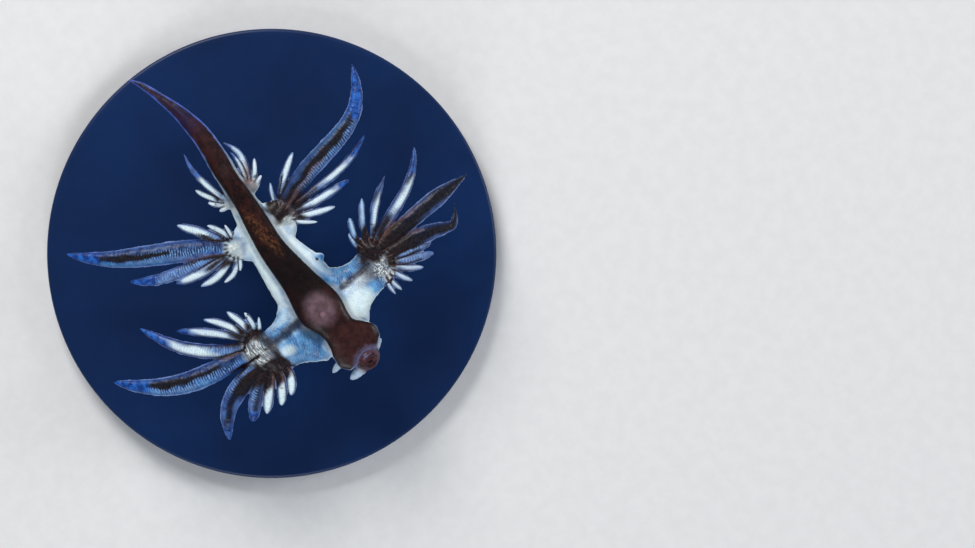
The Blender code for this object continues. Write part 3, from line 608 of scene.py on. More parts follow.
def long_form(name, axis, places, section, squareness):
    """A body along X or Y, axis 0 or 1: a ring at each place, bridged, then squared off.

    At a place, section gives its two edges, half its depth and the height of its middle. What comes back
    with it are its points, yet to be set, their places across in half widths, and their former heights.
    """
    way = np.eye(3)[axis] * np.sign(places[-1] - places[0])
    form = begin(name)
    for place in places:
        low, high, half_depth, middle_z = section(place)
        middle = np.array((place, place, middle_z))
        middle[1 - axis] = (low + high) / 2
        add_ring(middle, np.cross(UPWARDS, way), UPWARDS, (high - low) / 2, half_depth, BODY_SIDES)
    close_form()
    points = points_of(form)
    low, high, half_depth, middle_z = section(points[:, axis])
    half_width, across = (high - low) / 2, points[:, 1 - axis] - (low + high) / 2
    z = points[:, 2] - middle_z
    points[:, 1 - axis] = (low + high) / 2 + squared(across, half_width, z, half_depth, squareness)
    points[:, 2] = middle_z + squared(z, half_depth, across, half_width, squareness)
    return form, points, across / half_width, z


def trunk_form():
    """The trunk from the tip of the tail to the snout."""
    tip, tail = TRUNK[0][0], TRUNK[1][0]
    places = [*np.linspace(tip, tail, 5)[:-1], *np.linspace(tail, 15.4, BODY_RINGS), *SNOUT_RINGS]
    form, points = long_form("trunk", 0, places, trunk_section, TRUNK_SQUARENESS)[:2]
    set_points(form, points)
    return form


def sole_form():
    """The sole, a slab with rounded edges and a crown, notched where the mouth stands."""
    places = np.linspace(SOLE[0][0], SOLE[-1][0], BODY_RINGS + 1)
    form, points, across, z = long_form("sole", 0, places, sole_section, SOLE_SQUARENESS)
    crown = SOLE_CROWN * (1 - np.clip(across, -1, 1) ** 2)
    points[:, 2] += np.where(z > 0, crown + swelling(points), 0.0)
    set_points(form, points)
    cut(form, ball("bulb", MOUTH, MOUTH_RADII + NOTCH))
    return form


def swelling(points):
    centre_x, centre_y, radius, height = SWELLING
    away = ((points[:, 0] - centre_x) ** 2 + (points[:, 1] - centre_y) ** 2) / radius**2
    return height * np.exp(-away)


def arm_form(name, stations):
    """An arm or a pad, from inside the trunk to its rounded end."""
    start, end = stations[0][0], stations[-1][0]
    places = np.linspace(start, end, 2 + int(abs(end - start) / RING_GAP))
    form, points, _, z = long_form(name, 1, places, lambda y: sizes_at(stations, y).T, ARM_SQUARENESS)
    groove_x, groove_half, groove_depth = GROOVE
    sunk = groove_depth * np.exp(-(((points[:, 0] - groove_x) / groove_half) ** 2))
    points[:, 2] -= np.where(z > 0, sunk, 0.0)
    set_points(form, points)
    return form


def pick(*forms):
    """Selects these forms alone, the first of them active."""
    bpy.ops.object.select_all(action="DESELECT")
    for form in forms:
        form.select_set(True)
    bpy.context.view_layer.objects.active = forms[0]


def applied(form, kind, **settings):
    """Adds a modifier to the form and applies it."""
    modifier = form.modifiers.new(kind.lower(), kind)
    for name, value in settings.items():
        setattr(modifier, name, value)
    pick(form)
    bpy.ops.object.modifier_apply(modifier=modifier.name)


def joined(forms, name):
    pick(*forms)
    bpy.ops.object.join()
    forms[0].name = name
    return forms[0]


def cut(form, cutter):
    """Takes the cutter's shape out of the form."""
    applied(form, "BOOLEAN", operation="DIFFERENCE", solver="EXACT", object=cutter)
    bpy.data.objects.remove(cutter)


def ball(name, middle, shares, radius=1.0, pitch=0.0, segments=48, rings=28):
    """A sphere scaled by these shares along its own axes, and tipped forwards by its pitch."""
    form = begin(name)
    bpy.ops.mesh.primitive_uv_sphere_add(
        segments=segments, ring_count=rings, radius=radius, location=middle, rotation=(0, pitch, 0)
    )
    flatten(middle, Matrix.Rotation(pitch, 3, "Y"), shares)
    bpy.ops.object.mode_set(mode="OBJECT")
    return form


def mouth_frame():
    """Places the lips on the bulb, tipped forwards from straight up."""
    out = np.array((math.sin(MOUTH_PITCH), 0.0, math.cos(MOUTH_PITCH)))
    reach = 1 / math.sqrt(np.sum((out / MOUTH_RADII) ** 2))
    return Matrix.Translation(MOUTH + out * reach) @ Matrix.Rotation(MOUTH_PITCH, 4, "Y")


def mouth_forms():
    """The mouth's bulb with its slit, and the ring of lip round the slit."""
    place = mouth_frame()
    bulb = ball("bulb", MOUTH, MOUTH_RADII)
    slit = ball("slit", place @ Vector((0, 0, SLIT_LIFT)), MOUTH_SLIT, 0.5, MOUTH_PITCH, 24, 12)
    lips = begin("lips")
    bpy.ops.mesh.primitive_torus_add(
        major_segments=48,
        minor_segments=16,
        major_radius=LIP_RING,
        minor_radius=LIP_GIRTH,
        location=place @ Vector((0, 0, -LIP_SINK)),
        rotation=(0, MOUTH_PITCH, 0),
    )
    bpy.ops.object.mode_set(mode="OBJECT")
    cut(bulb, slit)
    return [bulb, lips]


def papilla_form():
    """A low cone with a rim, leaning out from the right flank."""
    out = unit(PAPILLA_LEAN)
    side = unit(np.cross(out, UPWARDS))
    other = np.cross(out, side)
    form = begin("papilla")
    for height, share in PAPILLA_PROFILE:
        girth = PAPILLA_RADIUS * share
        add_ring(PAPILLA + out * height, side, other, girth, girth, 24)
    close_form()
    return form


def girth(t, outline):
    """Share of the greatest width at t of the length: a neck, a belly, then a shaped tip."""
    neck, belly, first_power, second_power = OUTLINES[outline]
    lower = neck + (1 - neck) * np.sin(math.pi / 2 * np.minimum(t, belly) / belly)
    past = np.clip((t - belly) / (1 - belly), 0, 1)
    upper = np.maximum(TIP_SHARE, (1 - past**first_power) ** second_power)
    return np.where(t < belly, lower, upper)


class Finger:
    """A tapered, slightly flattened finger: its line, its two ways across, its sizes and its coat."""

    def __init__(self, root, tip, bow, peak, turn, width, thickness, outline, coat, fan):
        t = np.linspace(0.0, 1.0, 121)[:, None]
        run = tip - root
        left = unit(np.cross(UPWARDS, run))
        sideways = bow * np.sin(math.pi * t ** (math.log(0.5) / math.log(peak)))
        sideways += turn * (np.maximum(0.0, t - HOOK_START) / (1 - HOOK_START)) ** 2
        upwards = CERATA_BOW * np.linalg.norm(run) * np.sin(math.pi * t)
        line = root + run * t + left * sideways + UPWARDS * upwards
        stretch = np.concatenate([[0.0], np.cumsum(np.linalg.norm(np.diff(line, axis=0), axis=1))])
        self.length = stretch[-1]
        count = 10 + round(self.length / 0.3)
        self.share = np.sin(math.pi / 2 * np.arange(count) / (count - 1)) ** 1.1
        self.along = self.share * self.length
        behind, self.line, ahead = (
            np.stack([np.interp(self.along + step, stretch, line[:, k]) for k in range(3)], 1)
            for step in (-0.15, 0.0, 0.15)
        )
        self.way = unit(ahead - behind)
        self.across = unit(np.cross(UPWARDS, self.way))
        self.up = np.cross(self.way, self.across)
        self.half_width = width / 2 * girth(self.share, outline)
        self.half_height = thickness / 2 * girth(self.share, outline)
        self.width, self.coat, self.fan = width, coat, fan

    def form(self, sides):
        made = begin("finger")
        for row in zip(self.line, self.across, self.up, self.half_width, self.half_height):
            add_ring(*row, sides)
        close_form()
        return made


def fan_fingers(name):
    """The cerata of one fan."""
    height, cerata = FANS[name][1:]
    chance = random.Random(CERATA_SEED)
    made = []
    for i, (width, outline, root_x, root_y, tip_x, tip_y, bow, peak, coat) in enumerate(cerata):
        slope = CERATA_DROOP + (CERATA_LIFT - CERATA_DROOP) * (2 * i / (len(cerata) - 1) - 1) ** 2
        slope += chance.uniform(-CERATA_JITTER, CERATA_JITTER)
        length = math.hypot(tip_x - root_x, tip_y - root_y)
        root = np.array((root_x, root_y, height))
        tip = np.array((tip_x, tip_y, height + length * math.tan(slope)))
        turn = HOOK_TURN if outline == "hook" else 0.0
        thickness = max(LEAST_THICKNESS, CERATA_FLATNESS * width)
        made.append(Finger(root, tip, bow, peak, turn, width, thickness, outline, coat, name))
    return made


def feeler_fingers():
    made = []
    for width, root, tip in FEELERS:
        ends = np.array(root), np.array(tip)
        made.append(Finger(*ends, 0.05, 0.5, 0.0, width, width * FEELER_FLATNESS, "thorn", "feeler", "head"))
    return made


def drop_specks(form):
    """Deletes what the fusing has left loose from the body."""
    tail_tip = int(np.argmin(points_of(form)[:, 0]))
    bpy.ops.object.mode_set(mode="EDIT")
    bpy.ops.mesh.select_mode(type="VERT")
    bpy.ops.mesh.select_all(action="DESELECT")
    bpy.ops.object.mode_set(mode="OBJECT")
    form.data.vertices[tail_tip].select = True
    bpy.ops.object.mode_set(mode="EDIT")
    bpy.ops.mesh.select_linked()
    bpy.ops.mesh.select_all(action="INVERT")
    bpy.ops.mesh.delete(type="VERT")
    bpy.ops.object.mode_set(mode="OBJECT")


def normals_of(form):
    normals = np.zeros(len(form.data.vertices) * 3, np.float32)
    form.data.vertex_normals.foreach_get("vector", normals)
    return normals.reshape(-1, 3).astype(float)


class Reading:
    """Where each point of the skin lies on the nearest finger, and how near the next finger is."""

    def __init__(self, points, fingers):
        count = len(points)
        self.near, self.next = np.full(count, 9.0), np.full(count, 9.0)
        self.index = np.full(count, -1)
        self.share, self.along, self.side, self.lift = (np.zeros(count) for _ in range(4))
        for k, finger in enumerate(fingers):
            reach = 0.8 + finger.width / 2
            low, high = finger.line.min(0) - reach, finger.line.max(0) + reach
            inside = np.flatnonzero(np.all((points > low) & (points < high), axis=1))
            for part in np.array_split(inside, 1 + len(inside) // 20000):
                self.take(points, part, finger, k)

    def take(self, points, part, finger, k):
        away = points[part, None, :] - finger.line[None, :, :]
        nearest = np.argmin(np.einsum("vsk,vsk->vs", away, away), axis=1)
        offset = away[np.arange(len(part)), nearest]
        forward = np.einsum("vk,vk->v", offset, finger.way[nearest])
        side = np.einsum("vk,vk->v", offset, finger.across[nearest]) / finger.half_width[nearest]
        lift = np.einsum("vk,vk->v", offset, finger.up[nearest]) / finger.half_height[nearest]
        past_tip = np.where(nearest == len(finger.line) - 1, np.maximum(forward, 0), 0)
        beyond = past_tip / finger.half_width[nearest]
        near = np.sqrt(side**2 + lift**2 + (0.3 * beyond) ** 2)
        better = near < self.near[part]
        self.next[part] = np.where(better, self.near[part], np.minimum(self.next[part], near))
        chosen = part[better]
        self.near[chosen] = near[better]
        self.index[chosen] = k
        self.along[chosen] = (finger.along[nearest] + np.clip(forward, -0.4, 0.4))[better]
        self.share[chosen] = self.along[chosen] / finger.length
        self.side[chosen] = side[better]
        self.lift[chosen] = lift[better]

    def crease(self):
        """1 in the crease between two fingers that lie side by side, near their roots."""
        between = 1 - rise(self.next - self.near, 0.05, 0.50)
        return between * (1 - rise(self.near, 1.3, 1.7)) * (1 - rise(self.along, 3.0, 6.5))


def seams(points, fingers):
    """How far each point lies, seen from above, from the nearest line between two fingers' roots, and
    how strongly that line shows there. The sign of the distance tells the side, and turns over from one
    line to the next, so that it runs smoothly between them."""
    nearest, signed, along = np.full(len(points), 9.0), np.full(len(points), 9.0), np.zeros(len(points))
    flat, reach = points[:, :2], np.linspace(0.2, SEAM_REACH, 28)
    for k, (one, other) in enumerate(zip(fingers, fingers[1:])):
        if one.fan != other.fan or one.fan == "head":
            continue
        pair = (one, other)
        lines = [[np.interp(reach, finger.along, finger.line[:, j]) for j in (0, 1)] for finger in pair]
        middle = np.mean(lines, axis=0).T
        way = unit(np.gradient(middle, axis=0))
        part = np.flatnonzero(np.all((flat > middle.min(0) - 0.5) & (flat < middle.max(0) + 0.5), axis=1))
        offset = flat[part, None] - middle[None]
        closest = np.linalg.norm(offset, axis=2).argmin(axis=1)
        offset = offset[np.arange(len(part)), closest]
        side = way[closest, 0] * offset[:, 1] - way[closest, 1] * offset[:, 0]
        away = np.hypot(offset[:, 0], offset[:, 1])
        better = away < nearest[part]
        chosen = part[better]
        nearest[chosen] = away[better]
        signed[chosen] = side[better] * (-1) ** k
        along[chosen] = reach[closest[better]]
    return signed, (1 - rise(nearest, 0.25, 0.45)) * band(along, 0.5, 2.4, 0.4)


def in_trunk(points):
    """How far inside the trunk's edges each point lies, and its height above the middle in half depths."""
    left, right, half_depth, middle_z = trunk_section(points[:, 0])
    y, z = points[:, 1], points[:, 2]
    return np.minimum(y - left, right - y), (z - middle_z) / half_depth


def sole_distance(points):
    """How far inside the brown of the sole or tail a point lies, in millimetres. Outside is negative."""
    x, y, z = points.T
    left, right, half_depth, top = sizes_at(TRUNK, x).T
    sole_left, sole_right = sizes_at(SOLE, x).T
    on_tail = 1 - rise(x, -12.5, -8.0)
    left = sole_left + (left - sole_left) * on_tail
    right = sole_right + (right - sole_right) * on_tail
    inside = np.minimum(y - left, right - y)
    lift = (z - (top - half_depth)) / half_depth
    on_sole = (z - (top - SOLE_DEPTH)) / 0.6
    level = on_sole + (lift - 0.12 - on_sole) * on_tail
    away = np.sqrt(np.sum(((points - MOUTH) / (MOUTH_RADII + 0.10)) ** 2, axis=1)) - 1
    inside = np.minimum(inside, np.where(x > 12.5, away * 1.2, 9.0))
    return np.minimum(np.minimum(inside, level), 15.0 - x)


def sculpt(form, fingers):
    """The folds, ridges and wrinkles of the skin, pushed out of or into the fused form."""
    points, normals = points_of(form), normals_of(form)
    reading = Reading(points, fingers)
    on_finger = (1 - rise(reading.near, 1.15, 1.6)) * rise(reading.along, 0.6, 1.4)
    upward = rise(normals[:, 2], -0.1, 0.4)
    push = sum(height * ripples(points, length, seed) for height, length, seed in WRINKLES)
    widths = np.array([finger.width for finger in fingers] + [0.0])[reading.index]
    ring = np.sin(2 * math.pi * reading.along / RING_LENGTH + 1.5 * ripples(points, 2.5, 3))
    push += RING_HEIGHT * ring * on_finger * rise(widths, 0.4, 1.2)
    furrow = np.exp(-((reading.side / FURROW_HALF) ** 2)) * rise(widths, 1.2, 1.8)
    push -= FURROW_DEPTH * on_finger * upward * furrow
    crest, on_pad = pad_folds(points)[:2]
    push += FOLD_HEIGHT * (crest - 0.4) * on_pad * (1 - 0.7 * on_finger) * upward
    push += arm_folds(points, on_finger)
    push -= CREASE_DEPTH * reading.crease() * upward
    signed, seam = seams(points, fingers)
    push -= SEAM_DEPTH * (1 - rise(np.abs(signed), 0.03, 0.20)) * seam * upward * (1 - on_finger)
    calm = np.maximum(1 - rise(points[:, 0], -17.0, -9.0), rise(sole_distance(points), 0.0, 0.4))
    push *= 1 - SOLE_CALM * calm * (1 - on_finger)
    push += tail_ridges(points, upward)
    push += mouth_folds(points)
    set_points(form, points + normals * push[:, None])


def pad_folds(points):
    """How near a fold's crest each point lies, how far it is on a pad, how dark the pad is there, and
    the point's place counted in folds outwards and round."""
    crest, share, dark, out, around = (np.zeros(len(points)) for _ in range(5))
    for x, y, reach, hub_x, hub_y, folds_out, folds_round, between in PAD_FOLDS:
        dx, dy = points[:, 0] - hub_x, points[:, 1] - hub_y
        u = np.hypot(dx, dy) * folds_out
        v = np.arctan2(dx, dy * np.sign(y - hub_y)) * math.hypot(x - hub_x, y - hub_y) * folds_round
        flat = np.stack([u, v, 0.2 * points[:, 2]], 1)
        line = np.exp(-((ripples(flat, 1.6, 4) / 0.38) ** 2))
        here = 1 - rise(np.hypot(points[:, 0] - x, points[:, 1] - y), 0.55 * reach, reach)
        nearer = here > share
        pairs = ((line, crest), (u, out), (v, around))
        crest, out, around = (np.where(nearer, new, old) for new, old in pairs)
        share, dark = np.maximum(share, here), np.maximum(dark, between * here)
    return crest, share, dark, out, around


def arm_folds(points, on_finger):
    """Fine folds across the front arms and along the flanks."""
    x, y = points[:, 0], points[:, 1]
    out = np.maximum(-y - 2.4, y - 3.6)
    arm = band(x, 5.0, 12.4, 0.5) * rise(out, 0.0, 0.8) * (1 - on_finger)
    wave = np.sin(2 * math.pi * out / 0.45 + 1.2 * ripples(points, 1.8, 5))
    return arm * (0.012 * wave + 0.016 * ripples(points, 0.45, 6))


def tail_ridges(points, upward):
    """A raised rim along both edges of the tail, and a furrow beside it."""
    inside = in_trunk(points)[0]
    x = points[:, 0]
    relief = sum(high * np.exp(-(((inside - at) / half) ** 2)) for at, half, high in (TAIL_RIM, TAIL_FURROW))
    return (1 - rise(x, -11.0, -8.5)) * upward * rise(x, -23.2, -20.0) * relief


def mouth_folds(points):
    """Folds that run in towards the slit of the mouth."""
    local = (points - np.array(mouth_frame().translation)) @ np.array(mouth_frame().to_3x3())
    away, angle = np.hypot(local[:, 0], local[:, 1]), np.arctan2(local[:, 1], local[:, 0])
    near = band(away, 0.25, 1.15, 0.2) * rise(local[:, 2], -1.0, -0.5)
    return 0.014 * near * np.sin(14 * angle + 1.0 * ripples(points, 1.2, 7))


def arm_rays(points):
    """How far round the nearest hollow each point of an arm lies, in millimetres."""
    x, y = points[:, 0], points[:, 1]
    rays = np.zeros(len(points))
    for place, hubs in HOLLOWS.items():
        for side, (hub_x, hub_y) in zip((y < 0.7, y >= 0.7), hubs):
            here = side & ((x < GROOVE[0]) if place == "rear" else (x >= GROOVE[0]))
            rays[here] = np.arctan2(y[here] - hub_y, np.abs(x[here] - hub_x)) * RAY_SPREAD
    return rays


def stroke_masks(points, on_finger, upward):
    """The brush strokes on arms, pads and flanks, one mask for each paint."""
    masks = {}
    wobble = 0.12 * ripples(points, 1.4, 8)
    for paint, strokes in STROKES.items():
        bare = 1.0
        for x, y, half_length, half_width, degrees, strength in strokes:
            dx, dy = points[:, 0] - x, points[:, 1] - y
            c, s = math.cos(math.radians(degrees)), math.sin(math.radians(degrees))
            away = np.hypot((dx * c + dy * s) / half_length, (dy * c - dx * s) / half_width) + wobble
            reach = np.minimum(1, (1 - rise(away, 0.40, 1.25)) * strength) * (1 - 0.85 * on_finger) * upward
            bare = bare * (1 - reach)
        masks[paint] = 1 - bare
    return masks


def mark(coat, name, t, side, soft, swell=1.0):
    """How strongly a mark of the coat covers the points at t along and side across a ceras."""
    strength, start, end, middle, half = (*coat.get(name, (0.0, 0.0, 1.0)), 0.0, 9.0)[:5]
    away = np.abs(side - middle) / (half * swell)
    return strength * band(t, start, end, soft) * (1 - rise(away, 0.25, 1.35))


def coat_masks(masks, points, reading, fingers, on_finger):
    """Adds each ceras's own coat to the masks, with painted shade near its root and a painted glow on its
    pale rim. The marks have uneven edges.
    """
    top = rise(reading.lift, -0.45, 0.25)
    wander_t, wander_side = ripples(points, 1.1, 21), ripples(points, 1.7, 22)
    for k, finger in enumerate(fingers):
        here = np.flatnonzero((reading.index == k) & (on_finger > 0.01))
        coat = COATS[finger.coat]
        t = reading.share[here] + 0.018 * wander_t[here]
        side = reading.side[here] + 0.09 * wander_side[here]
        slanted = t + 0.10 * side * np.sign(finger.way[0, 0] * finger.across[0, 1])
        weight, upper = on_finger[here], top[here]
        outwards, lift = np.abs(reading.side[here]), reading.lift[here]
        edge = coat.get("edge", 0.90 if "snow" in coat else 0.40)
        bare = (-1.0, 0.0) if finger.fan == "head" else (1.8, 4.6)
        swell = 0.55 + 0.85 * rise(t, *coat.get("stripe", (0, 0.0, 1.0))[1:3])
        whole = {name: mark(coat, name, t, side, soft) for name, soft in MARK_SOFTNESS.items()}
        whole |= {
            "steel": coat["steel"] * (0.7 + 0.3 * upper) + 0 * t,
            "snow": mark(coat, "snow", slanted, side, 0.08),
            "core": whole["core"] * upper,
            "rust": whole["rust"] * upper,
            "umber": np.maximum.reduce((
                mark(coat, "root", slanted, side, 0.15),
                mark(coat, "stripe", t, side, 0.08, swell),
                # Painted shade: the sides of a finger darken near its root, where the fingers crowd
                # together.
                0.95 * rise(outwards, 0.55, 0.90) * (1 - rise(reading.along[here], *bare)),
            )) * upper,
            "edge": edge * rise(outwards, 0.38, 0.90) * rise(lift, -0.8, -0.2),
            # The pale rim along a finger's side: its pale margin, brightened as a painted glow where light
            # shines through the thin edge.
            "rim": rise(outwards, 0.84, 1.0) * rise(t, 0.20, 0.40) * rise(lift, -0.22, 0.0),
            "shade": 0 * t,
            "paper": 0 * t,
        }
        for name, value in whole.items():
            masks[name][here] = masks[name][here] * (1 - weight) + value * weight


def paint(form, fingers):
    """Writes the masks that the skin's material reads, one value for each point."""
    points, normals = points_of(form), normals_of(form)
    reading = Reading(points, fingers)
    on_finger = (1 - rise(reading.near, 1.25, 1.7)) * rise(reading.along, 0.5, 1.3)
    upward = rise(normals[:, 2], -0.35, 0.15)
    masks = stroke_masks(points, on_finger, upward)
    for name in ("steel", "dash", "core", "royal", "edge", "rim"):
        masks[name] = np.zeros(len(points))
    crest, _, dark, masks["pad_out"], masks["pad_round"] = pad_folds(points)
    masks["pad"] = (1 - on_finger) * upward * dark
    masks["umber"] = masks["umber"] * (1 - 0.3 * masks["paper"] * crest)
    coat_masks(masks, points, reading, fingers, on_finger)
    # Painted shade over the brown of the roots: dark in the gaps just outside each finger near its root, and
    # in the creases between fingers that lie side by side.
    gap_shade = rise(reading.near, 1.00, 1.18) * (1 - rise(reading.near, 1.7, 2.1))
    gap_shade *= band(reading.along, 0.8, 3.2, 0.6)
    masks["umber"] = np.maximum(masks["umber"], 0.95 * np.maximum(gap_shade, reading.crease()) * upward)
    masks["seam"], seam = seams(points, fingers)
    seam = seam * upward * (1 - on_finger)
    pale = np.array([finger.fan in PALE_SEAMS for finger in fingers] + [False])[reading.index]
    masks["seam_pale"], masks["seam_dark"] = seam * pale, seam
    x, y, z = points.T
    inside = sole_distance(points)
    masks["sole"] = np.where(upward > 0.02, inside, np.minimum(inside, -0.3)) * (1 - on_finger) - on_finger
    # Painted shadow: a soft dark band on the skin along the edge of the sole, behind the head.
    sole_shadow = 0.5 * band(inside, -0.45, 0.2, 0.2) * (1 - rise(x, 11.5, 12.5)) * (1 - on_finger) * upward
    masks["shade"] = np.maximum(masks["shade"], sole_shadow)
    masks["tail"] = 1 - rise(x, -17.0, -7.0)
    edge, lift = in_trunk(points)
    edge = edge + 0.03 * ripples(points, 0.8, 12)
    tail_side = (1 - rise(x, -12.5, -8.5)) * (1 - on_finger)
    tail_rim = tail_side * (1 - rise(edge, 0.06, 0.22)) * rise(lift, -0.20, 0.0)
    masks["steel"] = np.maximum(masks["steel"], 0.85 * tail_side * rise(lift, -1.0, -0.3))
    lobe = band(inside, -0.04, 0.12, 0.06) * rise(x, 12.4, 13.2)
    # Painted rim light: the steep sides of the trunk, arms and pads, which make the outline seen from above,
    # are painted white.
    rim_light = band(normals[:, 2], -0.1, 0.38, 0.12) * (1 - on_finger)
    masks["snow"] = np.maximum(masks["snow"], 0.8 * rim_light)
    masks["rim"] = np.maximum(masks["rim"], np.maximum(tail_rim, 0.28 * lobe))
    away = np.sqrt(np.sum(((points - MOUTH) / MOUTH_RADII) ** 2, axis=1))
    masks["lip"] = (1 - rise(away, 1.25, 1.5)) * rise(x, 13.6, 14.2) * rise(z, 11.0, 11.6) * (1 - on_finger)
    masks["arm"] = band(x, 4.6, 12.6, 0.6) * rise(np.maximum(-y - 1.9, y - 3.0), 0.0, 0.8) * (1 - on_finger)
    masks["finger"] = on_finger
    masks["along"] = np.where(on_finger > 0.5, reading.along, arm_rays(points))
    masks["across"] = np.clip(reading.side, -1.5, 1.5)
    masks["back"] = 1 - rise(normals[:, 2], -0.6, 0.1)
    for name, values in masks.items():
        layer = form.data.attributes.new(name, "FLOAT", "POINT")
        layer.data.foreach_set("value", values.astype(np.float32))


def slug_skin():
    """Models every form of the animal, fuses them into one skin, and sculpts and paints it."""
    fingers = [finger for name in FANS for finger in fan_fingers(name)]
    feelers = feeler_fingers()
    forms = [trunk_form(), sole_form(), papilla_form(), *mouth_forms()]
    forms += [arm_form(f"pad_{name}", pad) for name, (pad, height, cerata) in FANS.items()]
    forms += [finger.form(FINGER_SIDES) for finger in fingers + feelers]
    skin = joined(forms, "slug_skin")
    applied(skin, "REMESH", mode="VOXEL", voxel_size=VOXEL, use_smooth_shade=True)
    drop_specks(skin)
    applied(skin, "SMOOTH", factor=0.5, iterations=SMOOTHINGS)
    sculpt(skin, fingers + feelers)
    triangles = sum(len(face.vertices) - 2 for face in skin.data.polygons)
    applied(skin, "DECIMATE", ratio=min(1.0, SKIN_TRIANGLES / triangles), use_collapse_triangulate=True)
    paint(skin, fingers + feelers)
    return skin


def finish_piece(piece, material, slot, *nodes):
    """Scales a piece to metres, gives it its material and puts it in the place of its CAD nodes."""
    piece.data.transform(Matrix.Scale(MM, 4))
    piece.data.materials.clear()
    piece.data.materials.append(material)
    piece.data.shade_smooth()
    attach(piece, "root")
    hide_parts(*nodes)
    return piece


def tone(red, green, blue):
    """A colour given in sRGB, 0 to 255, as the shader's linear colour."""
    linear = []
    for value in (red, green, blue):
        share = value / 255
        linear.append(share / 12.92 if share <= 0.04045 else ((share + 0.055) / 1.055) ** 2.4)
    return (*linear, 1.0)


class Recipe:
    """A material being mixed, node by node."""

    def __init__(self, name):
        self.material = bpy.data.materials.new(name)
        self.material.use_nodes = True
        self.tree = self.material.node_tree
        self.shader = self.tree.nodes["Principled BSDF"]
        self.place = self.node("ShaderNodeTexCoord").outputs["Object"]

    def node(self, kind, settings=None, **inputs):
        made = self.tree.nodes.new(kind)
        for name, value in (settings or {}).items():
            setattr(made, name, value)
        for name, value in inputs.items():
            self.feed(made.inputs[name.replace("_", " ")], value)
        return made

    def feed(self, socket, value):
        if isinstance(value, bpy.types.NodeSocket):
            self.tree.links.new(value, socket)
        else:
            socket.default_value = value

    def mask(self, name):
        return self.node("ShaderNodeAttribute", {"attribute_name": name}).outputs["Fac"]

    def math(self, operation, *values):
        made = self.node("ShaderNodeMath", {"operation": operation})
        for socket, value in zip(made.inputs, values):
            self.feed(socket, value)
        return made.outputs[0]

    def times(self, *values):
        return self.math("MULTIPLY", *values)

    def plus(self, *values):
        return self.math("ADD", *values)

    def frayed(self, value, noise, amount):
        """The value, shaken by noise."""
        return self.plus(value, self.times(self.math("SUBTRACT", noise, 0.5), amount))

    def mix(self, share, first, second):
        """Mixes two colours. One given in numbers is in sRGB, 0 to 255."""
        made = self.node("ShaderNodeMix", {"data_type": "RGBA"})
        for index, value in ((0, share), (6, first), (7, second)):
            self.feed(made.inputs[index], tone(*value) if isinstance(value, tuple) else value)
        return made.outputs[2]

    def clouds(self, size, first, second, low=0.35, high=0.65):
        """Two colours in clouds of about this size, in millimetres."""
        return self.mix(self.spread(self.noise(size), low, high), first, second)

    def noise(self, size, detail=3.0, stretch=None):
        """Noise with features of about this size, in millimetres."""
        vector = self.place
        if stretch:
            vector = self.node("ShaderNodeMapping", Vector=self.place, Scale=stretch).outputs[0]
        settings = {"Scale": 1 / (size * MM), "Detail": detail, "Roughness": 0.55}
        return self.node("ShaderNodeTexNoise", Vector=vector, **settings).outputs[0]

    def spread(self, value, low, high, to_low=0.0, to_high=1.0):
        """Stretches a value so that low becomes to_low and high becomes to_high, smoothly."""
        made = self.node("ShaderNodeMapRange", {"interpolation_type": "SMOOTHSTEP"}, Value=value)
        for name, number in (("From Min", low), ("From Max", high), ("To Min", to_low), ("To Max", to_high)):
            made.inputs[name].default_value = number
        return made.outputs[0]

    def finish(self, colour, **uniform):
        self.feed(self.shader.inputs["Base Color"], colour)
        for name, value in uniform.items():
            self.feed(self.shader.inputs[name.replace("_", " ")], value)
        return self.material


def striae(r):
    """Fine lines across a ceras, bent a little and broken up."""
    along, across = r.mask("along"), r.mask("across")
    bent = r.plus(along, r.times(r.times(across, across), 0.16))
    bent = r.plus(bent, r.times(r.noise(0.8), 0.55))
    wave = r.math("SINE", r.times(bent, 2 * math.pi / STRIA_LENGTH))
    broken = r.spread(r.noise(0.30, 2.0), 0.32, 0.60, 0.20, 1.0)
    return r.times(r.spread(wave, -0.5, 0.7), broken)


def flesh_tones(r, fine, grain, lines):
    """The silver of the flanks and back, the sky blue of the arms and the blue-grey of the cerata."""
    colour = r.clouds(1.5, (172, 200, 230), (224, 236, 240))
    dots = r.times(r.spread(grain, 0.50, 0.60), r.plus(r.times(r.mask("arm"), 0.50), 0.15))
    colour = r.mix(dots, colour, (106, 130, 170))
    colour = r.mix(r.times(r.mask("back"), 0.55), colour, (112, 132, 166))
    steel = r.clouds(0.7, (22, 52, 120), (66, 114, 186))
    colour = r.mix(r.mask("steel"), colour, steel)
    sky = r.clouds(0.9, (40, 102, 164), (78, 154, 214), 0.36, 0.64)
    blotch = r.spread(fine, 0.36, 0.60, 0.82, 1.0)
    colour = r.mix(r.times(r.mask("azure"), blotch), colour, sky)
    lined = r.times(r.times(r.mask("arm"), lines), 0.26)
    return r.mix(lined, colour, (176, 208, 236))


def papery_folds(r, colour):
    """Crumpled white folds over the brown of a pad, and how high they stand."""
    place = r.node("ShaderNodeCombineXYZ", X=r.mask("pad_out"), Y=r.mask("pad_round"))
    noise = r.node("ShaderNodeTexNoise", Vector=place.outputs[0], Scale=2.1, Detail=3.0, Roughness=0.55)
    line = r.spread(r.math("ABSOLUTE", r.math("SUBTRACT", noise.outputs[0], 0.5)), 0.07, 0.01)
    ground = r.clouds(0.5, (22, 14, 20), (62, 54, 64))
    colour = r.mix(r.times(r.mask("pad"), 0.95), colour, ground)
    paper = r.clouds(0.3, (186, 200, 208), (244, 248, 240), 0.4, 0.6)
    shown = r.times(line, r.mask("paper"))
    return r.mix(shown, colour, paper), shown


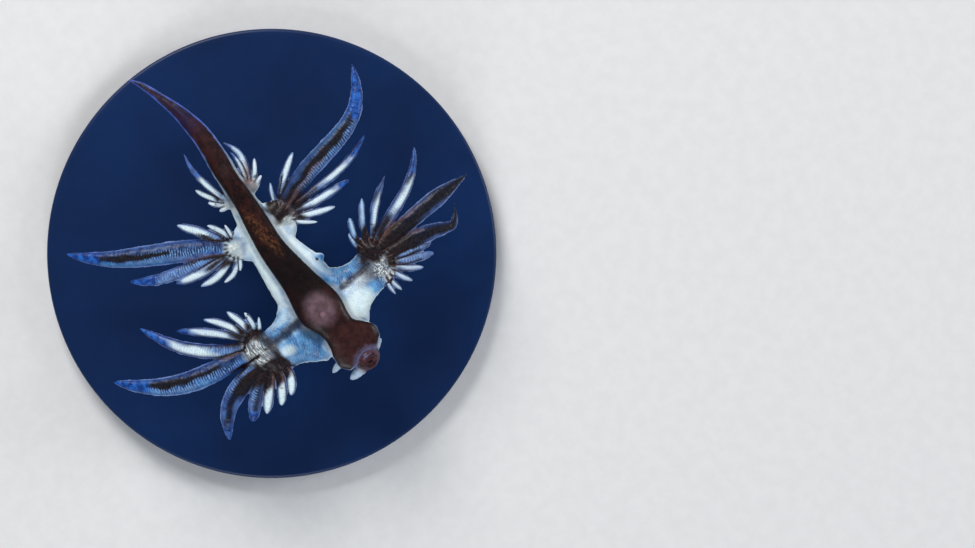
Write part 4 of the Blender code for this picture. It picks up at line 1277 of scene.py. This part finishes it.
def wet_skin():
    """The slug's skin: silver, sky blue, white, royal blue and brown, wet all over, with painted shade,
    painted rim light and a painted glow on the rims of the cerata.
    """
    r = Recipe("wet_slug_skin")
    lines = striae(r)
    fine, grain = r.noise(0.22), r.noise(0.12, 2.0)
    colour = flesh_tones(r, fine, grain, lines)
    colour = r.mix(r.times(r.mask("core"), 0.9), colour, (8, 18, 46))
    deep = r.clouds(0.6, (8, 50, 122), (34, 100, 192), 0.38, 0.65)
    colour = r.mix(r.times(r.mask("royal"), 0.95), colour, deep)
    colour = r.mix(r.times(r.times(r.mask("dash"), lines), 0.75), colour, (140, 186, 236))
    scored = r.plus(r.times(lines, 0.22), 0.80)
    flake = r.times(r.spread(fine, 0.26, 0.46, 0.50, 1.0), scored)
    # White: the snow marks and strokes, and the painted rim light on the steep sides.
    colour = r.mix(r.times(r.mask("snow"), flake), colour, (228, 248, 252))
    colour = r.mix(r.mask("edge"), colour, (20, 38, 98))
    # Painted shade in dark navy: the shadow strokes in the grooves and by the foot, and the shadow beside
    # the sole.
    colour = r.mix(r.times(r.mask("shade"), 0.95), colour, (22, 30, 52))
    colour, folds = papery_folds(r, colour)
    bark = r.mix(r.spread(fine, 0.35, 0.65), (6, 5, 10), (38, 22, 26))
    out = r.times(r.mask("finger"), r.spread(r.mask("along"), 1.5, 4.5))
    bark = r.mix(out, bark, r.mix(r.spread(fine, 0.35, 0.65), (6, 8, 18), (28, 25, 38)))
    from_seam = r.math("ABSOLUTE", r.frayed(r.mask("seam"), fine, 0.12))
    dark_line = r.times(r.spread(from_seam, 0.24, 0.06), r.mask("seam_dark"))
    pale_line = r.times(r.spread(from_seam, 0.075, 0.02), r.mask("seam_pale"))
    # The dark brown marks, the dark lines between fingers, and the painted shade at the finger roots.
    umber = r.math("MAXIMUM", r.mask("umber"), r.times(dark_line, 0.9))
    scratched = r.times(r.times(r.math("SUBTRACT", 0.4, lines), 0.22), out)
    worn = r.plus(r.frayed(umber, fine, 0.4), scratched)
    colour = r.mix(r.spread(worn, 0.12, 0.85), colour, bark)
    rust = r.times(r.mask("rust"), r.spread(fine, 0.25, 0.60, 0.30, 0.75))
    rust = r.math("MAXIMUM", rust, r.times(pale_line, 0.8))
    colour = r.mix(rust, colour, (128, 94, 88))
    colour = sole_paint(r, colour, grain)
    # The pale blue rims of the cerata, brightened as a painted glow through their thin edges, and the pale
    # rims of the tail and of the foot's lobes.
    rim = r.times(r.mask("rim"), r.spread(r.noise(0.9), 0.35, 0.60, 0.55, 0.90))
    colour = r.mix(rim, colour, r.mix(r.mask("tail"), (142, 168, 226), (76, 102, 200)))
    height = r.plus(r.times(lines, r.times(r.mask("finger"), 0.5)), fine)
    height = r.plus(height, r.times(grain, 0.5))
    height = r.plus(height, folds)
    height = r.times(height, r.spread(r.mask("sole"), 0.0, 0.3, 1.0, 0.5))
    bump = r.node("ShaderNodeBump", Height=height, Strength=0.6, Distance=0.00004)
    dull = r.times(r.math("MAXIMUM", r.mask("tail"), r.math("MAXIMUM", r.mask("pad"), umber)), 0.2)
    return r.finish(
        colour,
        Roughness=r.plus(r.spread(fine, 0.3, 0.7, 0.30, 0.46), dull),
        Normal=bump.outputs[0],
        IOR=1.36,
        Subsurface_Weight=0.15,
        Subsurface_Radius=(0.7, 0.8, 1.0),
        Subsurface_Scale=0.00025,
        Specular_IOR_Level=0.30,
        Coat_Weight=0.11,
        Coat_Roughness=0.22,
    )


def sole_paint(r, colour, grain):
    """The brown of the sole and tail, darker to its edges, with an amber patch and a mauve one."""
    inside, tail = r.mask("sole"), r.mask("tail")
    brown = r.clouds(1.1, (14, 6, 8), (44, 18, 17))
    brown = r.mix(tail, brown, r.clouds(0.9, (20, 8, 14), (58, 24, 30)))
    tip = r.times(r.spread(tail, 0.75, 1.0), r.spread(r.noise(0.8), 0.35, 0.65, 0.40, 0.90))
    brown = r.mix(tip, brown, (22, 20, 62))
    brown = r.mix(r.spread(r.noise(0.18, 4.0), 0.45, 0.75, 0.0, 0.45), brown, (74, 34, 30))
    dark = patch(r, (3.2, 0.6), (5.0, 2.6))
    brown = r.mix(r.times(dark, 0.8), brown, (7, 4, 8))
    head = r.times(patch(r, (12.9, 1.0), (2.8, 3.4)), r.spread(r.noise(0.6, 4.0), 0.35, 0.65, 0.25, 0.80))
    brown = r.mix(head, brown, (66, 36, 36))
    brown = r.mix(r.spread(inside, 0.5, 0.05, 0.0, 0.75), brown, (8, 4, 9))
    dots = r.spread(r.noise(0.24, 3.0, stretch=(0.7, 1.0, 1.0)), 0.42, 0.68, 0.05, 0.9)
    brown = r.mix(r.times(patch(r, (-2.0, 1.0), (3.6, 0.85)), dots), brown, (100, 62, 38))
    veiled = r.times(patch(r, (8.1, 0.45), (2.2, 1.9)), r.spread(r.noise(0.9, 4.0), 0.30, 0.66, 0.35, 0.85))
    brown = r.mix(veiled, brown, (118, 94, 104))
    spot = r.times(patch(r, (8.65, 0.30), (0.32, 0.32)), 0.5)
    brown = r.mix(spot, brown, (158, 122, 130))
    colour = r.mix(r.spread(r.frayed(inside, grain, 0.14), -0.05, 0.06), colour, brown)
    flesh = r.clouds(0.45, (38, 18, 26), (78, 40, 46))
    haze = r.math("SUBTRACT", 1.0, patch(r, (15.4, 0.85), (1.65, 1.75)))
    flesh = r.mix(r.times(haze, 0.85), flesh, (112, 106, 140))
    return r.mix(r.mask("lip"), colour, flesh)


def patch(r, centre, reach):
    """A soft oval patch, seen from above: 1 in its middle and 0 at its reach, in millimetres."""
    x, y = centre
    rx, ry = reach
    moved = r.node(
        "ShaderNodeMapping",
        Vector=r.place,
        Location=(-x / rx, -y / ry, 0.0),
        Scale=(1 / (rx * MM), 1 / (ry * MM), 0.0),
    ).outputs[0]
    away = r.node("ShaderNodeVectorMath", {"operation": "LENGTH"})
    r.feed(away.inputs[0], moved)
    return r.spread(away.outputs["Value"], 1.15, 0.45)


def navy_lacquer():
    """Deep navy satin lacquer, faintly clouded, with a little orange peel."""
    r = Recipe("navy_lacquer")
    cloud = r.noise(9.0, 4.0)
    colour = r.mix(r.spread(cloud, 0.35, 0.65), (3, 33, 76), (5, 38, 84))
    peel = r.node("ShaderNodeBump", Height=r.noise(0.8, 2.0), Strength=0.12, Distance=0.00005)
    return r.finish(
        colour,
        Roughness=r.spread(r.noise(1.2, 3.0), 0.3, 0.7, 0.37, 0.40),
        Normal=peel.outputs[0],
        Specular_IOR_Level=0.25,
    )


def brushed_steel():
    """Steel with faint fine lines round the rod, left by the polisher."""
    r = Recipe("brushed_steel")
    lines = r.noise(0.5, 3.0, stretch=(0.15, 0.15, 8.0))
    colour = r.mix(r.spread(lines, 0.35, 0.65), (190, 192, 196), (200, 202, 206))
    scored = r.node("ShaderNodeBump", Height=lines, Strength=0.03, Distance=0.00001)
    gloss = r.spread(lines, 0.3, 0.7, 0.27, 0.32)
    return r.finish(colour, Metallic=1.0, Roughness=gloss, Normal=scored.outputs[0])


def lathe(name, profile, x, y, sides):
    """A turned piece with closed ends: rings at heights and radii, bridged."""
    form = begin(name)
    for height, radius in profile:
        add_ring((x, y, height), (1, 0, 0), (0, 1, 0), radius, radius, sides)
    close_form()
    return form


def select(test):
    """Selects the faces of the open form whose middle and normal pass the test."""
    bpy.ops.mesh.select_all(action="DESELECT")
    bpy.ops.mesh.select_mode(type="FACE")
    open_form = bmesh.from_edit_mesh(bpy.context.object.data)
    for face in open_form.faces:
        if test(face.calc_center_median(), face.normal):
            face.select_set(True)
    open_form.select_flush_mode()


def base_form():
    """The base: a disc with rounded rims and flat faces."""
    form = begin("stand_base_disc")
    bpy.ops.mesh.primitive_cylinder_add(
        vertices=192, radius=BASE_RADIUS, depth=BASE_DEPTH, location=(0, 0, BASE_DEPTH / 2)
    )
    select(lambda middle, normal: abs(normal.z) > 0.9)
    bpy.ops.mesh.bevel(offset=BASE_BEVEL, segments=6, affect="EDGES")
    select(lambda middle, normal: abs(normal.z) > 0.999)
    bpy.ops.mesh.inset(thickness=BASE_INSET)
    bpy.ops.object.mode_set(mode="OBJECT")
    return form


def stand_pieces():
    """The base disc, and two rods that stand in collars and end against the slug's back."""
    steel, lacquer = brushed_steel(), navy_lacquer()
    base = finish_piece(base_form(), lacquer, "base_lacquer", "stand_base")
    base.data.set_sharp_from_angle(angle=SHARP_ANGLE)
    for name, x in RODS:
        left, right, half_depth, top = sizes_at(TRUNK, x)
        back = top - 2 * half_depth
        collar = [(BASE_DEPTH + height, radius) for height, radius in COLLAR]
        shaft = [(z, ROD_RADIUS) for z in (BASE_DEPTH + SHAFT_START, 6.0, back - 0.5, back + ROD_SEAT)]
        rod = lathe(f"stand_rod_{name}_turned", collar + shaft, x, (left + right) / 2, 48)
        finish_piece(rod, steel, "rod_steel", f"stand_rod_{name}")
        rod.data.set_sharp_from_angle(angle=SHARP_ANGLE)


def pale_floor():
    r = Recipe("pale_floor")
    speck = r.noise(1.5, 3.0)
    r.finish(r.mix(r.spread(speck, 0.3, 0.7), (222, 223, 224), (226, 227, 228)), Roughness=0.75)
    bpy.ops.object.select_all(action="DESELECT")
    bpy.ops.mesh.primitive_circle_add(vertices=96, radius=3.0, fill_type="NGON", location=(0, 0, 0))
    floor = bpy.context.object
    floor.name = "floor"
    floor.data.materials.append(r.material)


def soft_light(name, place, size, power, colour):
    """A square soft box at a place, turned to the model."""
    light = bpy.data.lights.new(name, "AREA")
    light.shape = "SQUARE"
    light.size = size
    light.energy = power
    light.color = colour
    lamp = bpy.data.objects.new(name, light)
    bpy.context.scene.collection.objects.link(lamp)
    lamp.location = place
    lamp.rotation_euler = (LIGHT_AIM - Vector(place)).to_track_quat("-Z", "Y").to_euler()


def studio():
    """Pale floor, soft boxes, a dim white room, and the camera straight above."""
    pale_floor()
    for light in LIGHTS:
        soft_light(*light)
    world = bpy.data.worlds.new("room")
    world.use_nodes = True
    walls = world.node_tree.nodes["Background"].inputs
    walls["Color"].default_value = ROOM_COLOUR
    walls["Strength"].default_value = ROOM_STRENGTH
    bpy.context.scene.world = world
    bpy.context.scene.view_settings.view_transform = "Standard"
    lens = bpy.data.cameras.new("camera")
    lens.sensor_width = SENSOR
    lens.lens = SENSOR * (CAMERA_HEIGHT - ANIMAL_HEIGHT) / CAMERA_SPAN
    lens.clip_start, lens.clip_end = 0.01, 20.0
    camera = bpy.data.objects.new("camera", lens)
    bpy.context.scene.collection.objects.link(camera)
    camera.location = (CAMERA_AIM[0] * MM, CAMERA_AIM[1] * MM, CAMERA_HEIGHT * MM)
    camera.rotation_euler = (0.0, 0.0, CAMERA_TURN)
    bpy.context.scene.camera = camera


def main():
    flesh = [name for name in frame["nodes"] if not name.startswith("stand_")]
    finish_piece(slug_skin(), wet_skin(), "body_skin", *flesh)
    stand_pieces()
    studio()


main()
